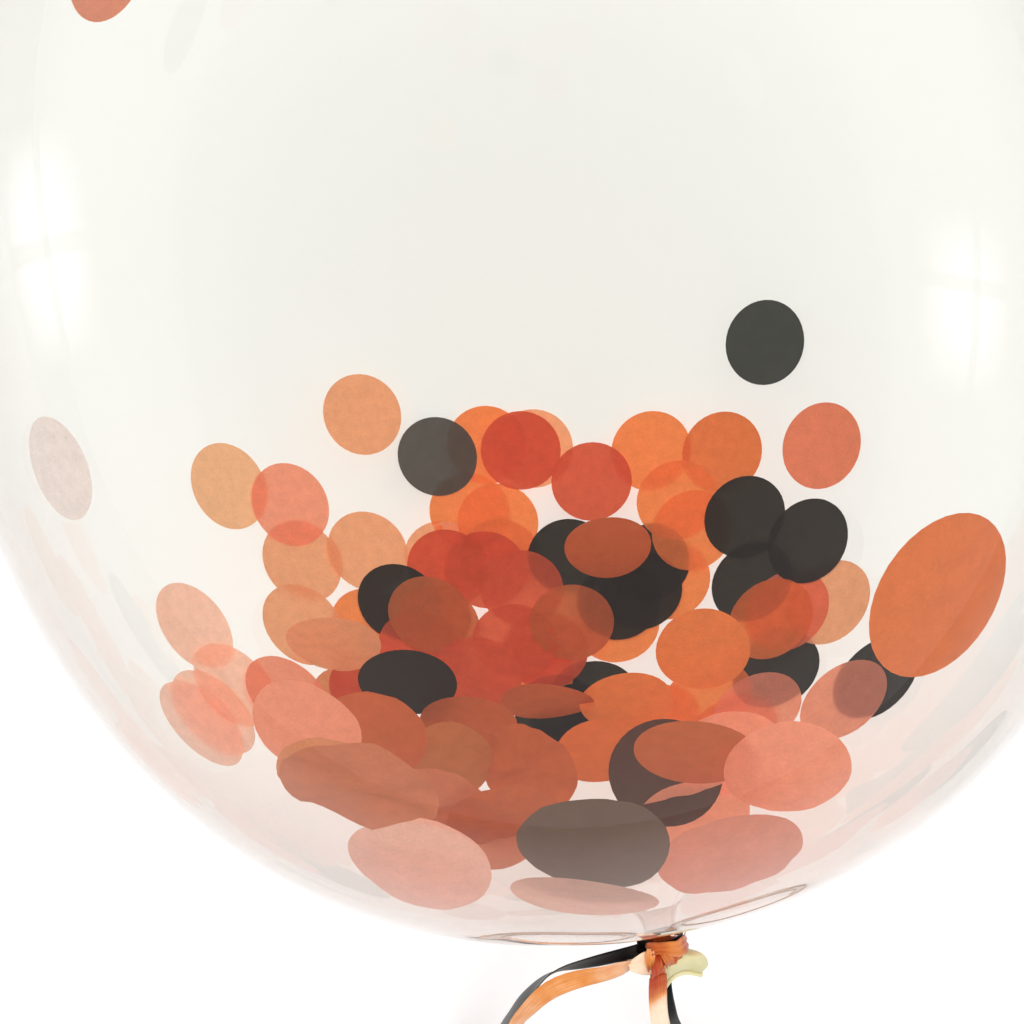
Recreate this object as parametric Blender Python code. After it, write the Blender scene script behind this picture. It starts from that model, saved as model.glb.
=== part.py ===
"""A clear balloon lying on its side, its neck tied with an orange and a black ribbon.

+Z is up and the floor is Z = 0. The balloon's long axis runs along Y, with its neck towards -Y, and the
origin is the middle of the small flat spot that it rests on.
"""
import math

import bmesh
import bpy
from mathutils import Matrix, Vector

# Balloon body, in metres
BODY_RADIUS = 0.120
TOP_LENGTH = 0.130
NECK_SIDE_LENGTH = 0.139
BODY_ROUNDNESS = 2.2
REST_SPOT_RADIUS = 0.022

# Gathered neck
NECK_RADIUS = 0.0033
NECK_FLARE_RADIUS = 0.0070
NECK_TO_TIE = 0.0120
NECK_END_PAST_TIE = 0.0035

# Mouth of the balloon, left over past the tie
MOUTH_HALF_WIDTH = 0.0048
MOUTH_HALF_DEPTH = 0.0017
MOUTH_START_SHARE = 0.9  # of the neck's radius, where the mouth leaves the tie
LIP_SWELL = 0.0009
LIP_LENGTH = 0.0034
LIP_ROUNDING = 0.0005
LIP_ROLL_SHARE = 0.9  # of the lip's half round that is turned before the end face
MOUTH_TURN = math.radians(17.5)
MOUTH_ROUTE_MM = ((0, 0, 0), (0, -1.8, 0), (0.8, -3.8, -0.2), (2.2, -5.8, -0.9), (3.7, -7.4, -1.8))

# Ribbon, its turns round the neck and the knot on them
RIBBON_WIDTH = 0.0050
RIBBON_THICKNESS = 0.0005
WRAP_DEPTH = 0.0011
WRAP_EDGE_SHARE = 0.7  # of the depth, at the edges of each turn
BLACK_WRAP_WIDTH = 0.0016
ORANGE_WRAP_WIDTH = 0.0030
KNOT_HALF_SIZE = (0.0026, 0.0027, 0.0023)
KNOT_OFFSET = (-0.0019, 0.0006, 0.0007)  # across, along, and above the outside of the turns
FOLD_HALF_SIZE = (0.0026, 0.0021, 0.0017)
FOLD_OFFSET = (-0.0048, -0.0010, -0.0015)

# Coils that the ribbons' free ends are put away in. An entry is across, and along from the tie.
COIL_MIDDLE_RADIUS = 0.0275
COIL_BAND = 0.0100
LEFT_COIL_ENTRY = (-0.0668, -0.1010)
RIGHT_COIL_ENTRY = (0.0112, -0.1130)

CLEARANCE = 0.0003

# Fineness of the meshes
BODY_SEGMENTS = 56
BODY_RINGS = 30
FLARE_STEPS = 5
FLARE_SEARCH_FROM = 0.8 * math.pi
FLARE_SEARCH_STEPS = 400
FLARE_SEARCH_HALVINGS = 40
SMALL_SEGMENTS = 24
COIL_SEGMENTS = 40
LUMP_SEGMENTS = 16
LUMP_RINGS = 10
TURN_STEPS = 4
ROUTE_SAMPLES = 20
MOUTH_STEP = 0.0009
STRIP_STEP = 0.0090
SMOOTH_ANGLE = math.radians(35)

# Free ends of the ribbons, from the knot to the coil. Each point is across, along from the tie and up from the
# floor in millimetres, and the ribbon's turn about its own length in degrees, where 0 lays its width level and
# 90 stands it on edge. The heights were chosen for the axis height below and stretch with the real one.
ROUTES_AXIS_HEIGHT = 0.1180
BLACK_LEFT_ROUTE = (
    (-4.9, 1.8, 120.3, 29),
    (-7.1, 2.0, 121.1, 33),
    (-10.3, 2.2, 121.8, 38),
    (-13.8, 2.2, 122.2, 41),
    (-17.8, 2.0, 122.1, 47),
    (-21.6, 1.4, 121.1, 54),
    (-24.7, 0.3, 119.6, 65),
    (-27.4, -1.6, 117.4, 80),
    (-30.6, -4.7, 114.2, 92),
    (-34.5, -9.4, 109.2, 97),
    (-38.7, -16.2, 102.0, 98),
    (-42.1, -23.4, 92.8, 110),
    (-45.3, -28.8, 83.4, 128),
    (-48.7, -33.6, 73.6, 142),
    (-52.4, -38.6, 63.2, 154),
    (-56.2, -44.4, 50.8, 160),
    (-59.7, -51.0, 38.4, 162),
    (-62.7, -58.4, 26.4, 158),
    (-64.9, -66.8, 15.6, 144),
    (-66.1, -76.0, 7.8, 122),
    (-66.7, -85.2, 3.7, 102),
    (-66.8, -93.6, 2.6, 91),
)
ORANGE_LEFT_ROUTE = (
    (-7.9, -0.8, 120.6, 54),
    (-10.6, -0.9, 121.4, 42),
    (-14.2, -1.0, 122.0, 32),
    (-18.4, -0.9, 122.3, 25),
    (-22.6, -1.3, 122.2, 20),
    (-26.6, -2.7, 121.4, 21),
    (-30.7, -5.8, 119.4, 30),
    (-35.2, -10.8, 115.6, 39),
    (-37.5, -18.2, 107.8, 40),
    (-40.4, -25.2, 97.6, 36),
    (-43.8, -31.8, 86.4, 30),
    (-47.6, -38.6, 74.2, 22),
    (-51.5, -45.6, 61.6, 16),
    (-55.2, -53.2, 49.2, 12),
    (-58.6, -61.4, 37.6, 14),
    (-61.6, -70.2, 27.0, 26),
    (-64.0, -79.2, 18.2, 50),
    (-65.7, -87.8, 12.0, 72),
    (-66.6, -95.2, 8.7, 86),
)
ORANGE_DOWN_ROUTE = (
    (-2.8, -2.5, 124.9, 36),
    (-3.2, -4.4, 124.9, 33),
    (-3.6, -7.0, 124.2, 32),
    (-3.9, -10.8, 122.0, 33),
    (-3.9, -15.8, 118.0, 34),
    (-3.4, -22.4, 111.6, 32),
    (-2.5, -28.8, 103.2, 26),
    (-1.1, -35.6, 92.8, 18),
    (0.7, -42.6, 80.8, 10),
    (2.7, -49.8, 67.8, 4),
    (4.8, -57.4, 54.8, 2),
    (6.7, -65.8, 42.4, 4),
    (8.4, -75.0, 31.2, 12),
    (9.7, -84.6, 21.8, 32),
    (10.6, -94.4, 14.2, 60),
    (11.1, -104.0, 9.2, 82),
)
BLACK_DOWN_ROUTE = (
    (-0.2, 2.7, 112.7, 0),
    (-0.6, -0.4, 112.2, 2),
    (-1.0, -3.8, 112.1, 4),
    (-1.4, -6.8, 112.1, 11),
    (-1.8, -9.7, 111.9, 18),
    (-1.9, -12.7, 111.2, 22),
    (-1.7, -16.6, 109.2, 25),
    (-1.3, -21.6, 105.8, 26),
    (-0.2, -27.8, 98.2, 14),
    (0.9, -34.4, 87.2, 12),
    (2.3, -41.0, 75.2, 9),
    (3.9, -47.8, 62.6, 6),
    (5.6, -54.8, 49.8, 4),
    (7.3, -62.6, 37.2, 4),
    (8.8, -71.4, 25.6, 8),
    (9.9, -80.8, 15.6, 24),
    (10.7, -90.2, 8.4, 50),
    (11.1, -99.0, 4.3, 72),
    (11.2, -106.6, 2.7, 88),
)

AXIS_HEIGHT = math.sqrt(BODY_RADIUS**2 - REST_SPOT_RADIUS**2)
TIE_Y = -(NECK_SIDE_LENGTH + NECK_TO_TIE)
BLACK_WRAP_Y = TIE_Y + (ORANGE_WRAP_WIDTH + BLACK_WRAP_WIDTH) / 2 + CLEARANCE
WRAP_INNER_RADIUS = NECK_RADIUS + CLEARANCE
WRAP_OUTER_RADIUS = WRAP_INNER_RADIUS + WRAP_DEPTH
UPPER_COIL_LEVEL = RIBBON_WIDTH + CLEARANCE
MM = 0.001


def clear_scene():
    for item in list(bpy.data.objects):
        bpy.data.objects.remove(item, do_unlink=True)


def material(name, colour, roughness, alpha=1.0):
    made = bpy.data.materials.new(name)
    made.use_nodes = True
    shader = made.node_tree.nodes["Principled BSDF"]
    shader.inputs["Base Color"].default_value = (*colour, 1.0)
    shader.inputs["Roughness"].default_value = roughness
    shader.inputs["Metallic"].default_value = 0.0
    shader.inputs["Alpha"].default_value = alpha
    return made


def add_object(name, fill_mesh, location, surface=None):
    """An object at the location, its mesh filled by fill_mesh and shaded smooth up to its sharp edges."""
    mesh = bpy.data.meshes.new(name)
    work = bmesh.new()
    fill_mesh(work)
    bmesh.ops.recalc_face_normals(work, faces=work.faces)
    work.to_mesh(mesh)
    work.free()
    mesh.shade_smooth()
    mesh.set_sharp_from_angle(angle=SMOOTH_ANGLE)
    if surface:
        mesh.materials.append(surface)
    made = bpy.data.objects.new(name, mesh)
    made.location = location
    bpy.context.scene.collection.objects.link(made)
    return made


def add_boolean(target, helper, operation):
    helper.hide_render = True
    helper.display_type = "WIRE"
    modifier = target.modifiers.new(f"{operation.lower()} {helper.name}", "BOOLEAN")
    modifier.operation = operation
    modifier.solver = "EXACT"
    modifier.object = helper


def join_loops(work, loops, closed=False):
    """Side faces between each loop of vertices and the next, and from the last to the first if closed."""
    following = loops[1:] + loops[:1] if closed else loops[1:]
    for first, second in zip(loops, following):
        for k in range(len(first)):
            j = (k + 1) % len(first)
            work.faces.new((first[k], first[j], second[j], second[k]))


def turned_body(work, rings, segments):
    """A closed body turned about the Y axis through rings of radius and Y, with a pole just past each end."""
    loops = []
    for radius, y in rings[1:-1]:
        angles = [math.tau * i / segments for i in range(segments)]
        loops.append([work.verts.new((radius * math.cos(a), y, radius * math.sin(a))) for a in angles])
    join_loops(work, loops)
    for loop, (_, pole_y) in ((loops[0], rings[0]), (loops[-1], rings[-1])):
        pole = work.verts.new((0, pole_y, 0))
        for k in range(segments):
            work.faces.new((loop[k], loop[(k + 1) % segments], pole))


def turned_ring(work, section, segments, axis="Y"):
    """A closed ring turned about an axis from a closed section of radius and place along that axis."""
    loops = []
    for i in range(segments):
        c, s = math.cos(math.tau * i / segments), math.sin(math.tau * i / segments)
        if axis == "Y":
            loops.append([work.verts.new((r * c, along, r * s)) for r, along in section])
        else:
            loops.append([work.verts.new((r * c, r * s, along)) for r, along in section])
    join_loops(work, loops, closed=True)


def lump(work, half_size):
    size = Matrix.Diagonal((*half_size, 1.0))
    bmesh.ops.create_uvsphere(work, u_segments=LUMP_SEGMENTS, v_segments=LUMP_RINGS, radius=1.0, matrix=size)


def eased(share):
    return share * share * (3 - 2 * share)


def route_length(route):
    return sum((b - a).to_3d().length for a, b in zip(route, route[1:]))


def smooth_route(stops, step):
    """Points about a step apart along a smooth curve that passes through the stops."""
    ends = [stops[0] * 2 - stops[1], *stops, stops[-1] * 2 - stops[-2]]
    fine = []
    for a, b, c, d in zip(ends, ends[1:], ends[2:], ends[3:]):
        for t in (i / ROUTE_SAMPLES for i in range(ROUTE_SAMPLES)):
            linear = (c - a) * t
            square = (a * 2 - b * 5 + c * 4 - d) * t**2
            cube = (b * 3 - a - c * 3 + d) * t**3
            fine.append((b * 2 + linear + square + cube) / 2)
    fine.append(stops[-1])
    count = max(2, round(route_length(fine) / step))
    gap = route_length(fine) / count
    route, done = [fine[0]], 0.0
    for a, b in zip(fine, fine[1:]):
        piece = (b - a).to_3d().length
        while len(route) < count and done + piece >= gap * len(route):
            route.append(a.lerp(b, (gap * len(route) - done) / piece))
        done += piece
    return [*route, fine[-1]]


def direction(route, i):
    return (route[min(i + 1, len(route) - 1)] - route[max(i - 1, 0)]).to_3d().normalized()


def body_point(angle):
    """Radius and place along Y of the body's outline, from its top (0) round to the neck's side (pi)."""
    length = TOP_LENGTH if angle < math.pi / 2 else NECK_SIDE_LENGTH
    along = math.copysign(abs(math.cos(angle)) ** (2 / BODY_ROUNDNESS), math.cos(angle))
    across = abs(math.sin(angle)) ** (2 / BODY_ROUNDNESS)
    return BODY_RADIUS * across, length * along


def find_flare():
    """The outline's angle where the hollow curve of the neck begins, and that curve's centre.

    The centre is slid out along the neck until the curve just touches the body.
    """
    centre_radius = NECK_RADIUS + NECK_FLARE_RADIUS
    step = (math.pi - FLARE_SEARCH_FROM) / FLARE_SEARCH_STEPS
    angles = [FLARE_SEARCH_FROM + step * i for i in range(FLARE_SEARCH_STEPS)]

    def nearest(centre_y):
        return min((math.dist(body_point(a), (centre_radius, centre_y)), a) for a in angles)

    inside, outside = -NECK_SIDE_LENGTH, -NECK_SIDE_LENGTH - 3 * NECK_FLARE_RADIUS
    for _ in range(FLARE_SEARCH_HALVINGS):
        middle = (inside + outside) / 2
        if nearest(middle)[0] < NECK_FLARE_RADIUS:
            inside = middle
        else:
            outside = middle
    return nearest(outside)[1], centre_radius, outside


def balloon_outline():
    """Radius and Y of each ring, from the top of the balloon to the end of its neck, poles included."""
    flare_angle, centre_radius, centre_y = find_flare()
    rings = [body_point(flare_angle * i / BODY_RINGS) for i in range(BODY_RINGS + 1)]
    first = math.atan2(rings[-1][1] - centre_y, rings[-1][0] - centre_radius)
    for i in range(1, FLARE_STEPS + 1):
        turned = first + (math.pi - first) * i / FLARE_STEPS
        across = centre_radius + NECK_FLARE_RADIUS * math.cos(turned)
        rings.append((across, centre_y + NECK_FLARE_RADIUS * math.sin(turned)))
    end_y = TIE_Y - NECK_END_PAST_TIE
    return [*rings, (NECK_RADIUS, end_y), (0.0, end_y - NECK_RADIUS / 2)]


def mouth_mesh(work):
    """The flattened mouth past the tie. It widens to a rolled lip."""
    route = smooth_route([Vector(p) * MM for p in MOUTH_ROUTE_MM], MOUTH_STEP)
    length = route_length(route)
    start_radius = MOUTH_START_SHARE * NECK_RADIUS
    loops = []
    for i, point in enumerate(route):
        done = route_length(route[: i + 1])
        along = direction(route, i)
        turn = MOUTH_TURN * eased(done / length)
        across = Vector((math.cos(turn), math.sin(turn), 0))
        across = (across - along * across.dot(along)).normalized()
        upward = across.cross(along)
        half_width = start_radius + (MOUTH_HALF_WIDTH - start_radius) * eased(done / length)
        half_depth = start_radius + (MOUTH_HALF_DEPTH - start_radius) * eased(done / length)
        into_lip = max(0.0, (done - length + LIP_LENGTH) / LIP_LENGTH)
        roll = LIP_SWELL * math.sin(math.pi * min(LIP_ROLL_SHARE, into_lip))
        closing = LIP_ROUNDING * into_lip**4
        half_width += roll - closing
        half_depth += roll - closing
        angles = [math.tau * k / SMALL_SEGMENTS for k in range(SMALL_SEGMENTS)]
        loop = [across * half_width * math.cos(a) + upward * half_depth * math.sin(a) for a in angles]
        loops.append([work.verts.new(point + offset) for offset in loop])
    join_loops(work, loops)
    work.faces.new(loops[0])
    work.faces.new(loops[-1])


def make_balloon(latex):
    rings = balloon_outline()
    body = add_object("balloon", lambda w: turned_body(w, rings, BODY_SEGMENTS), (0, 0, AXIS_HEIGHT), latex)
    below = (0, 0, -2 * BODY_RADIUS)
    floor = add_object("rest_spot_cutter", lambda w: bmesh.ops.create_cube(w, size=4 * BODY_RADIUS), below)
    mouth = add_object("mouth", mouth_mesh, (0, TIE_Y, AXIS_HEIGHT))
    add_boolean(body, floor, "DIFFERENCE")
    add_boolean(body, mouth, "UNION")


def wrap_section(width, turns):
    """A band's section of radius and Y: flat inside, and humped outside with a low crown for each turn."""
    section = [(WRAP_INNER_RADIUS, -width / 2), (WRAP_INNER_RADIUS, width / 2)]
    steps = TURN_STEPS * turns
    for i in range(steps + 1):
        crown = WRAP_EDGE_SHARE + (1 - WRAP_EDGE_SHARE) * abs(math.sin(math.pi * turns * i / steps))
        section.append((WRAP_INNER_RADIUS + WRAP_DEPTH * crown, width / 2 - width * i / steps))
    return section


def make_black_knot(ribbon):
    section = wrap_section(BLACK_WRAP_WIDTH, 1)
    place = (0, BLACK_WRAP_Y, AXIS_HEIGHT)
    add_object("black_ribbon_knot", lambda w: turned_ring(w, section, SMALL_SEGMENTS), place, ribbon)


def neck_room():
    """Outline of the space that the orange knot keeps clear: the neck, and the black turns nearer the body."""
    reach = 10 * NECK_RADIUS
    step_y = BLACK_WRAP_Y - BLACK_WRAP_WIDTH / 2 - CLEARANCE - TIE_Y
    wide = WRAP_OUTER_RADIUS + CLEARANCE
    return [
        (0, reach + wide),
        (wide, reach),
        (wide, step_y),
        (WRAP_INNER_RADIUS, step_y),
        (WRAP_INNER_RADIUS, -reach),
        (0, -reach - wide),
    ]


def make_orange_knot(ribbon):
    """The orange turns round the neck, with the knot on top of them and a fold of ribbon at its left."""
    place = (0, TIE_Y, AXIS_HEIGHT)
    section = wrap_section(ORANGE_WRAP_WIDTH, 2)
    wrap = add_object("orange_ribbon_knot", lambda w: turned_ring(w, section, SMALL_SEGMENTS), place, ribbon)
    top_of_turns = Vector((0, TIE_Y, AXIS_HEIGHT + WRAP_OUTER_RADIUS))
    knot_place = top_of_turns + Vector(KNOT_OFFSET)
    fold_place = top_of_turns + Vector(FOLD_OFFSET)
    knot = add_object("knot_lump", lambda w: lump(w, KNOT_HALF_SIZE), knot_place)
    fold = add_object("knot_fold", lambda w: lump(w, FOLD_HALF_SIZE), fold_place)
    room = add_object("neck_room", lambda w: turned_body(w, neck_room(), SMALL_SEGMENTS), place)
    add_boolean(knot, room, "DIFFERENCE")
    add_boolean(fold, room, "DIFFERENCE")
    add_boolean(wrap, knot, "UNION")
    add_boolean(wrap, fold, "UNION")


def strip_mesh(work, route):
    """A flat strip of ribbon along the route, whose fourth numbers are its turns in degrees.

    Its two faces are cut along the same diagonals, which keeps them parallel where the ribbon twists.
    """
    loops = []
    for i, point in enumerate(route):
        along = direction(route, i)
        level = along.cross(Vector((0, 0, 1))).normalized()
        turn = math.radians(point.w)
        across = level * math.cos(turn) + level.cross(along) * math.sin(turn)
        half_width = across * RIBBON_WIDTH / 2
        half_depth = across.cross(along) * RIBBON_THICKNESS / 2
        corners = (half_width + half_depth, half_depth - half_width)
        loops.append([work.verts.new(point.to_3d() + c) for c in (*corners, -corners[0], -corners[1])])
    for (a, b, c, d), (e, f, g, h) in zip(loops, loops[1:]):
        for triangle in ((a, b, f), (a, f, e), (d, g, c), (d, h, g), (b, c, g), (b, g, f), (d, a, e), (d, e, h)):
            work.faces.new(triangle)
    work.faces.new(loops[0])
    work.faces.new(loops[-1])


def make_free_end(name, route_points, entry, level, ribbon):
    """A free end of ribbon, which comes to its coil on edge, flat against the coil's outer turn."""
    stretch = AXIS_HEIGHT / ROUTES_AXIS_HEIGHT
    stops = [Vector((x * MM, TIE_Y + y * MM, z * MM * stretch, turn)) for x, y, z, turn in route_points]
    stops.append(Vector((entry[0], TIE_Y + entry[1], level + RIBBON_WIDTH / 2, 90)))
    route = smooth_route(stops, STRIP_STEP)
    add_object(name, lambda w: strip_mesh(w, route), (0, 0, 0), ribbon)


def make_coil(name, entry, level, ribbon):
    """The ring that the wound end of a ribbon fills, its turns standing on edge beside the ribbon's entry."""
    inner, outer = COIL_MIDDLE_RADIUS - COIL_BAND / 2, COIL_MIDDLE_RADIUS + COIL_BAND / 2
    section = [(inner, 0), (outer, 0), (outer, RIBBON_WIDTH), (inner, RIBBON_WIDTH)]
    place = (entry[0] + RIBBON_THICKNESS / 2 + CLEARANCE + outer, TIE_Y + entry[1], level)
    add_object(name, lambda w: turned_ring(w, section, COIL_SEGMENTS, "Z"), place, ribbon)


def main():
    clear_scene()
    latex = material("clear balloon film", (0.90, 0.89, 0.82), 0.08, alpha=0.3)
    orange = material("orange satin ribbon", (0.78, 0.28, 0.09), 0.35)
    black = material("black satin ribbon", (0.012, 0.013, 0.014), 0.3)
    make_balloon(latex)
    make_black_knot(black)
    make_orange_knot(orange)
    make_free_end("black_ribbon_left", BLACK_LEFT_ROUTE, LEFT_COIL_ENTRY, 0.0, black)
    make_free_end("orange_ribbon_left", ORANGE_LEFT_ROUTE, LEFT_COIL_ENTRY, UPPER_COIL_LEVEL, orange)
    make_free_end("black_ribbon_down", BLACK_DOWN_ROUTE, RIGHT_COIL_ENTRY, 0.0, black)
    make_free_end("orange_ribbon_down", ORANGE_DOWN_ROUTE, RIGHT_COIL_ENTRY, UPPER_COIL_LEVEL, orange)
    make_coil("black_coil_left", LEFT_COIL_ENTRY, 0.0, black)
    make_coil("orange_coil_left", LEFT_COIL_ENTRY, UPPER_COIL_LEVEL, orange)
    make_coil("black_coil_right", RIGHT_COIL_ENTRY, 0.0, black)
    make_coil("orange_coil_right", RIGHT_COIL_ENTRY, UPPER_COIL_LEVEL, orange)


main()
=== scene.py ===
"""A clear balloon with loose paper discs in it, its neck tied with an orange and a black ribbon.

Metres, +Z up, the floor at Z = 0. The balloon lies along Y with its neck towards -Y.
"""
import math
from collections import namedtuple

import bmesh
import bpy
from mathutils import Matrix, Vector


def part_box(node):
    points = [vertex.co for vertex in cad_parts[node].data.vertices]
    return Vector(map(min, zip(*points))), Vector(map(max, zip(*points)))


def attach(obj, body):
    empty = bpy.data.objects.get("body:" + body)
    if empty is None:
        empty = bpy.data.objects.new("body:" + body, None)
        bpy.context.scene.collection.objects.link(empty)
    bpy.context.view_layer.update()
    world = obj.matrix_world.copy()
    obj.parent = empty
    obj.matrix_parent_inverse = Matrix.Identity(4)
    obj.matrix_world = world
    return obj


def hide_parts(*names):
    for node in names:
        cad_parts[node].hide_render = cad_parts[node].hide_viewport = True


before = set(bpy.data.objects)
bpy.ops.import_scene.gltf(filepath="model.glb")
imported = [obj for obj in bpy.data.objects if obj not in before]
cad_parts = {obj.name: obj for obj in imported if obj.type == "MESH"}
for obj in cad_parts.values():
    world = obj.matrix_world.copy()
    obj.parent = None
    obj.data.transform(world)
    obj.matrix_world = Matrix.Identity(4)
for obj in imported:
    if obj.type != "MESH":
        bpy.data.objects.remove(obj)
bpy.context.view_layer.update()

bl_info = {
    "name": "Confetti balloon",
    "version": (1, 0, 0),
    "blender": (4, 5, 0),
    "location": "View3D > Sidebar > Balloon",
    "description": "Makes a clear balloon with paper discs in it and two ribbons on its neck",
    "category": "Object",
}

MM = 0.001


def middle(node):
    low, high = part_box(node)
    return (low + high) / 2


# How far the tie is past the middle of the black turns, and how far short of it the body's outline would end
TIE_STEP = 2.6 * MM
OUTLINE_GAP = 12 * MM

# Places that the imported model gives
BLACK_TURNS = middle("black_ribbon_knot")
AXIS_HEIGHT = BLACK_TURNS.z
TIE = BLACK_TURNS - Vector((0, TIE_STEP, 0))
TOP_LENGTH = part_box("balloon")[1].y
TURNS_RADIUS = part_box("black_ribbon_knot")[1].x
COIL_OUTER_RADIUS = (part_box("black_coil_left")[1].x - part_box("black_coil_left")[0].x) / 2
TOP_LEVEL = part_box("orange_coil_left")[0].z

# How far outside its coil's outermost turn a free end comes in
COIL_ENTRY_GAP = 0.55 * MM

# Free ends of the ribbons, from the knot to the coil. Each point is across, along from the tie and up from
# the floor in millimetres, and the ribbon's turn about its own length in degrees, where 0 lays its width
# level and 90 stands it on edge.
BLACK_LEFT_ROUTE = (
    (-4.9, 1.8, 120.3, 29),
    (-7.1, 2.0, 121.1, 33),
    (-10.3, 2.2, 121.8, 38),
    (-13.8, 2.2, 122.2, 41),
    (-17.8, 2.0, 122.1, 47),
    (-21.6, 1.4, 121.1, 54),
    (-24.7, 0.3, 119.6, 65),
    (-27.4, -1.6, 117.4, 80),
    (-30.6, -4.7, 114.2, 92),
    (-34.5, -9.4, 109.2, 97),
    (-38.7, -16.2, 102.0, 98),
    (-42.1, -23.4, 92.8, 110),
    (-45.3, -28.8, 83.4, 128),
    (-48.7, -33.6, 73.6, 142),
    (-52.4, -38.6, 63.2, 154),
    (-56.2, -44.4, 50.8, 160),
    (-59.7, -51.0, 38.4, 162),
    (-62.7, -58.4, 26.4, 158),
    (-64.9, -66.8, 15.6, 144),
    (-66.1, -76.0, 7.8, 122),
    (-66.7, -85.2, 3.7, 102),
    (-66.8, -93.6, 2.6, 91),
)
ORANGE_LEFT_ROUTE = (
    (-7.9, -0.8, 120.6, 48),
    (-10.6, -0.9, 121.4, 36),
    (-14.2, -1.0, 122.0, 32),
    (-18.4, -0.9, 122.3, 25),
    (-22.6, -1.3, 122.2, 20),
    (-26.6, -2.7, 121.4, 21),
    (-30.7, -5.8, 119.4, 30),
    (-35.2, -10.8, 115.6, 39),
    (-37.5, -18.2, 107.8, 40),
    (-40.4, -25.2, 97.6, 36),
    (-43.8, -31.8, 86.4, 30),
    (-47.6, -38.6, 74.2, 22),
    (-51.5, -45.6, 61.6, 16),
    (-55.2, -53.2, 49.2, 12),
    (-58.6, -61.4, 37.6, 14),
    (-61.6, -70.2, 27.0, 26),
    (-64.0, -79.2, 18.2, 50),
    (-65.7, -87.8, 12.0, 72),
    (-66.6, -95.2, 8.7, 86),
)
ORANGE_DOWN_ROUTE = (
    (-2.8, -2.5, 124.9, 36),
    (-3.2, -4.4, 124.9, 33),
    (-3.6, -7.0, 124.2, 32),
    (-3.9, -10.8, 122.0, 33),
    (-3.9, -15.8, 118.0, 34),
    (-3.4, -22.4, 111.6, 32),
    (-2.5, -28.8, 103.2, 26),
    (-1.1, -35.6, 92.8, 18),
    (0.7, -42.6, 80.8, 10),
    (2.7, -49.8, 67.8, 4),
    (4.8, -57.4, 54.8, 2),
    (6.7, -65.8, 42.4, 4),
    (8.4, -75.0, 31.2, 12),
    (9.7, -84.6, 21.8, 32),
    (10.6, -94.4, 14.2, 60),
    (11.1, -104.0, 9.2, 82),
)
BLACK_DOWN_ROUTE = (
    (-0.2, 2.7, 112.7, 0),
    (-0.6, -0.4, 112.2, 2),
    (-1.0, -3.8, 112.1, 4),
    (-1.4, -6.8, 112.1, 11),
    (-1.8, -9.7, 111.9, 18),
    (-1.9, -12.7, 111.2, 22),
    (-1.7, -16.6, 109.2, 25),
    (-1.3, -21.6, 105.8, 26),
    (-0.2, -27.8, 98.2, 14),
    (0.9, -34.4, 87.2, 12),
    (2.3, -41.0, 75.2, 9),
    (3.9, -47.8, 62.6, 6),
    (5.6, -54.8, 49.8, 4),
    (7.3, -62.6, 37.2, 4),
    (8.8, -71.4, 25.6, 8),
    (9.9, -80.8, 15.6, 24),
    (10.7, -90.2, 8.4, 50),
    (11.1, -99.0, 4.3, 72),
    (11.2, -106.6, 2.7, 88),
)

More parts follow.
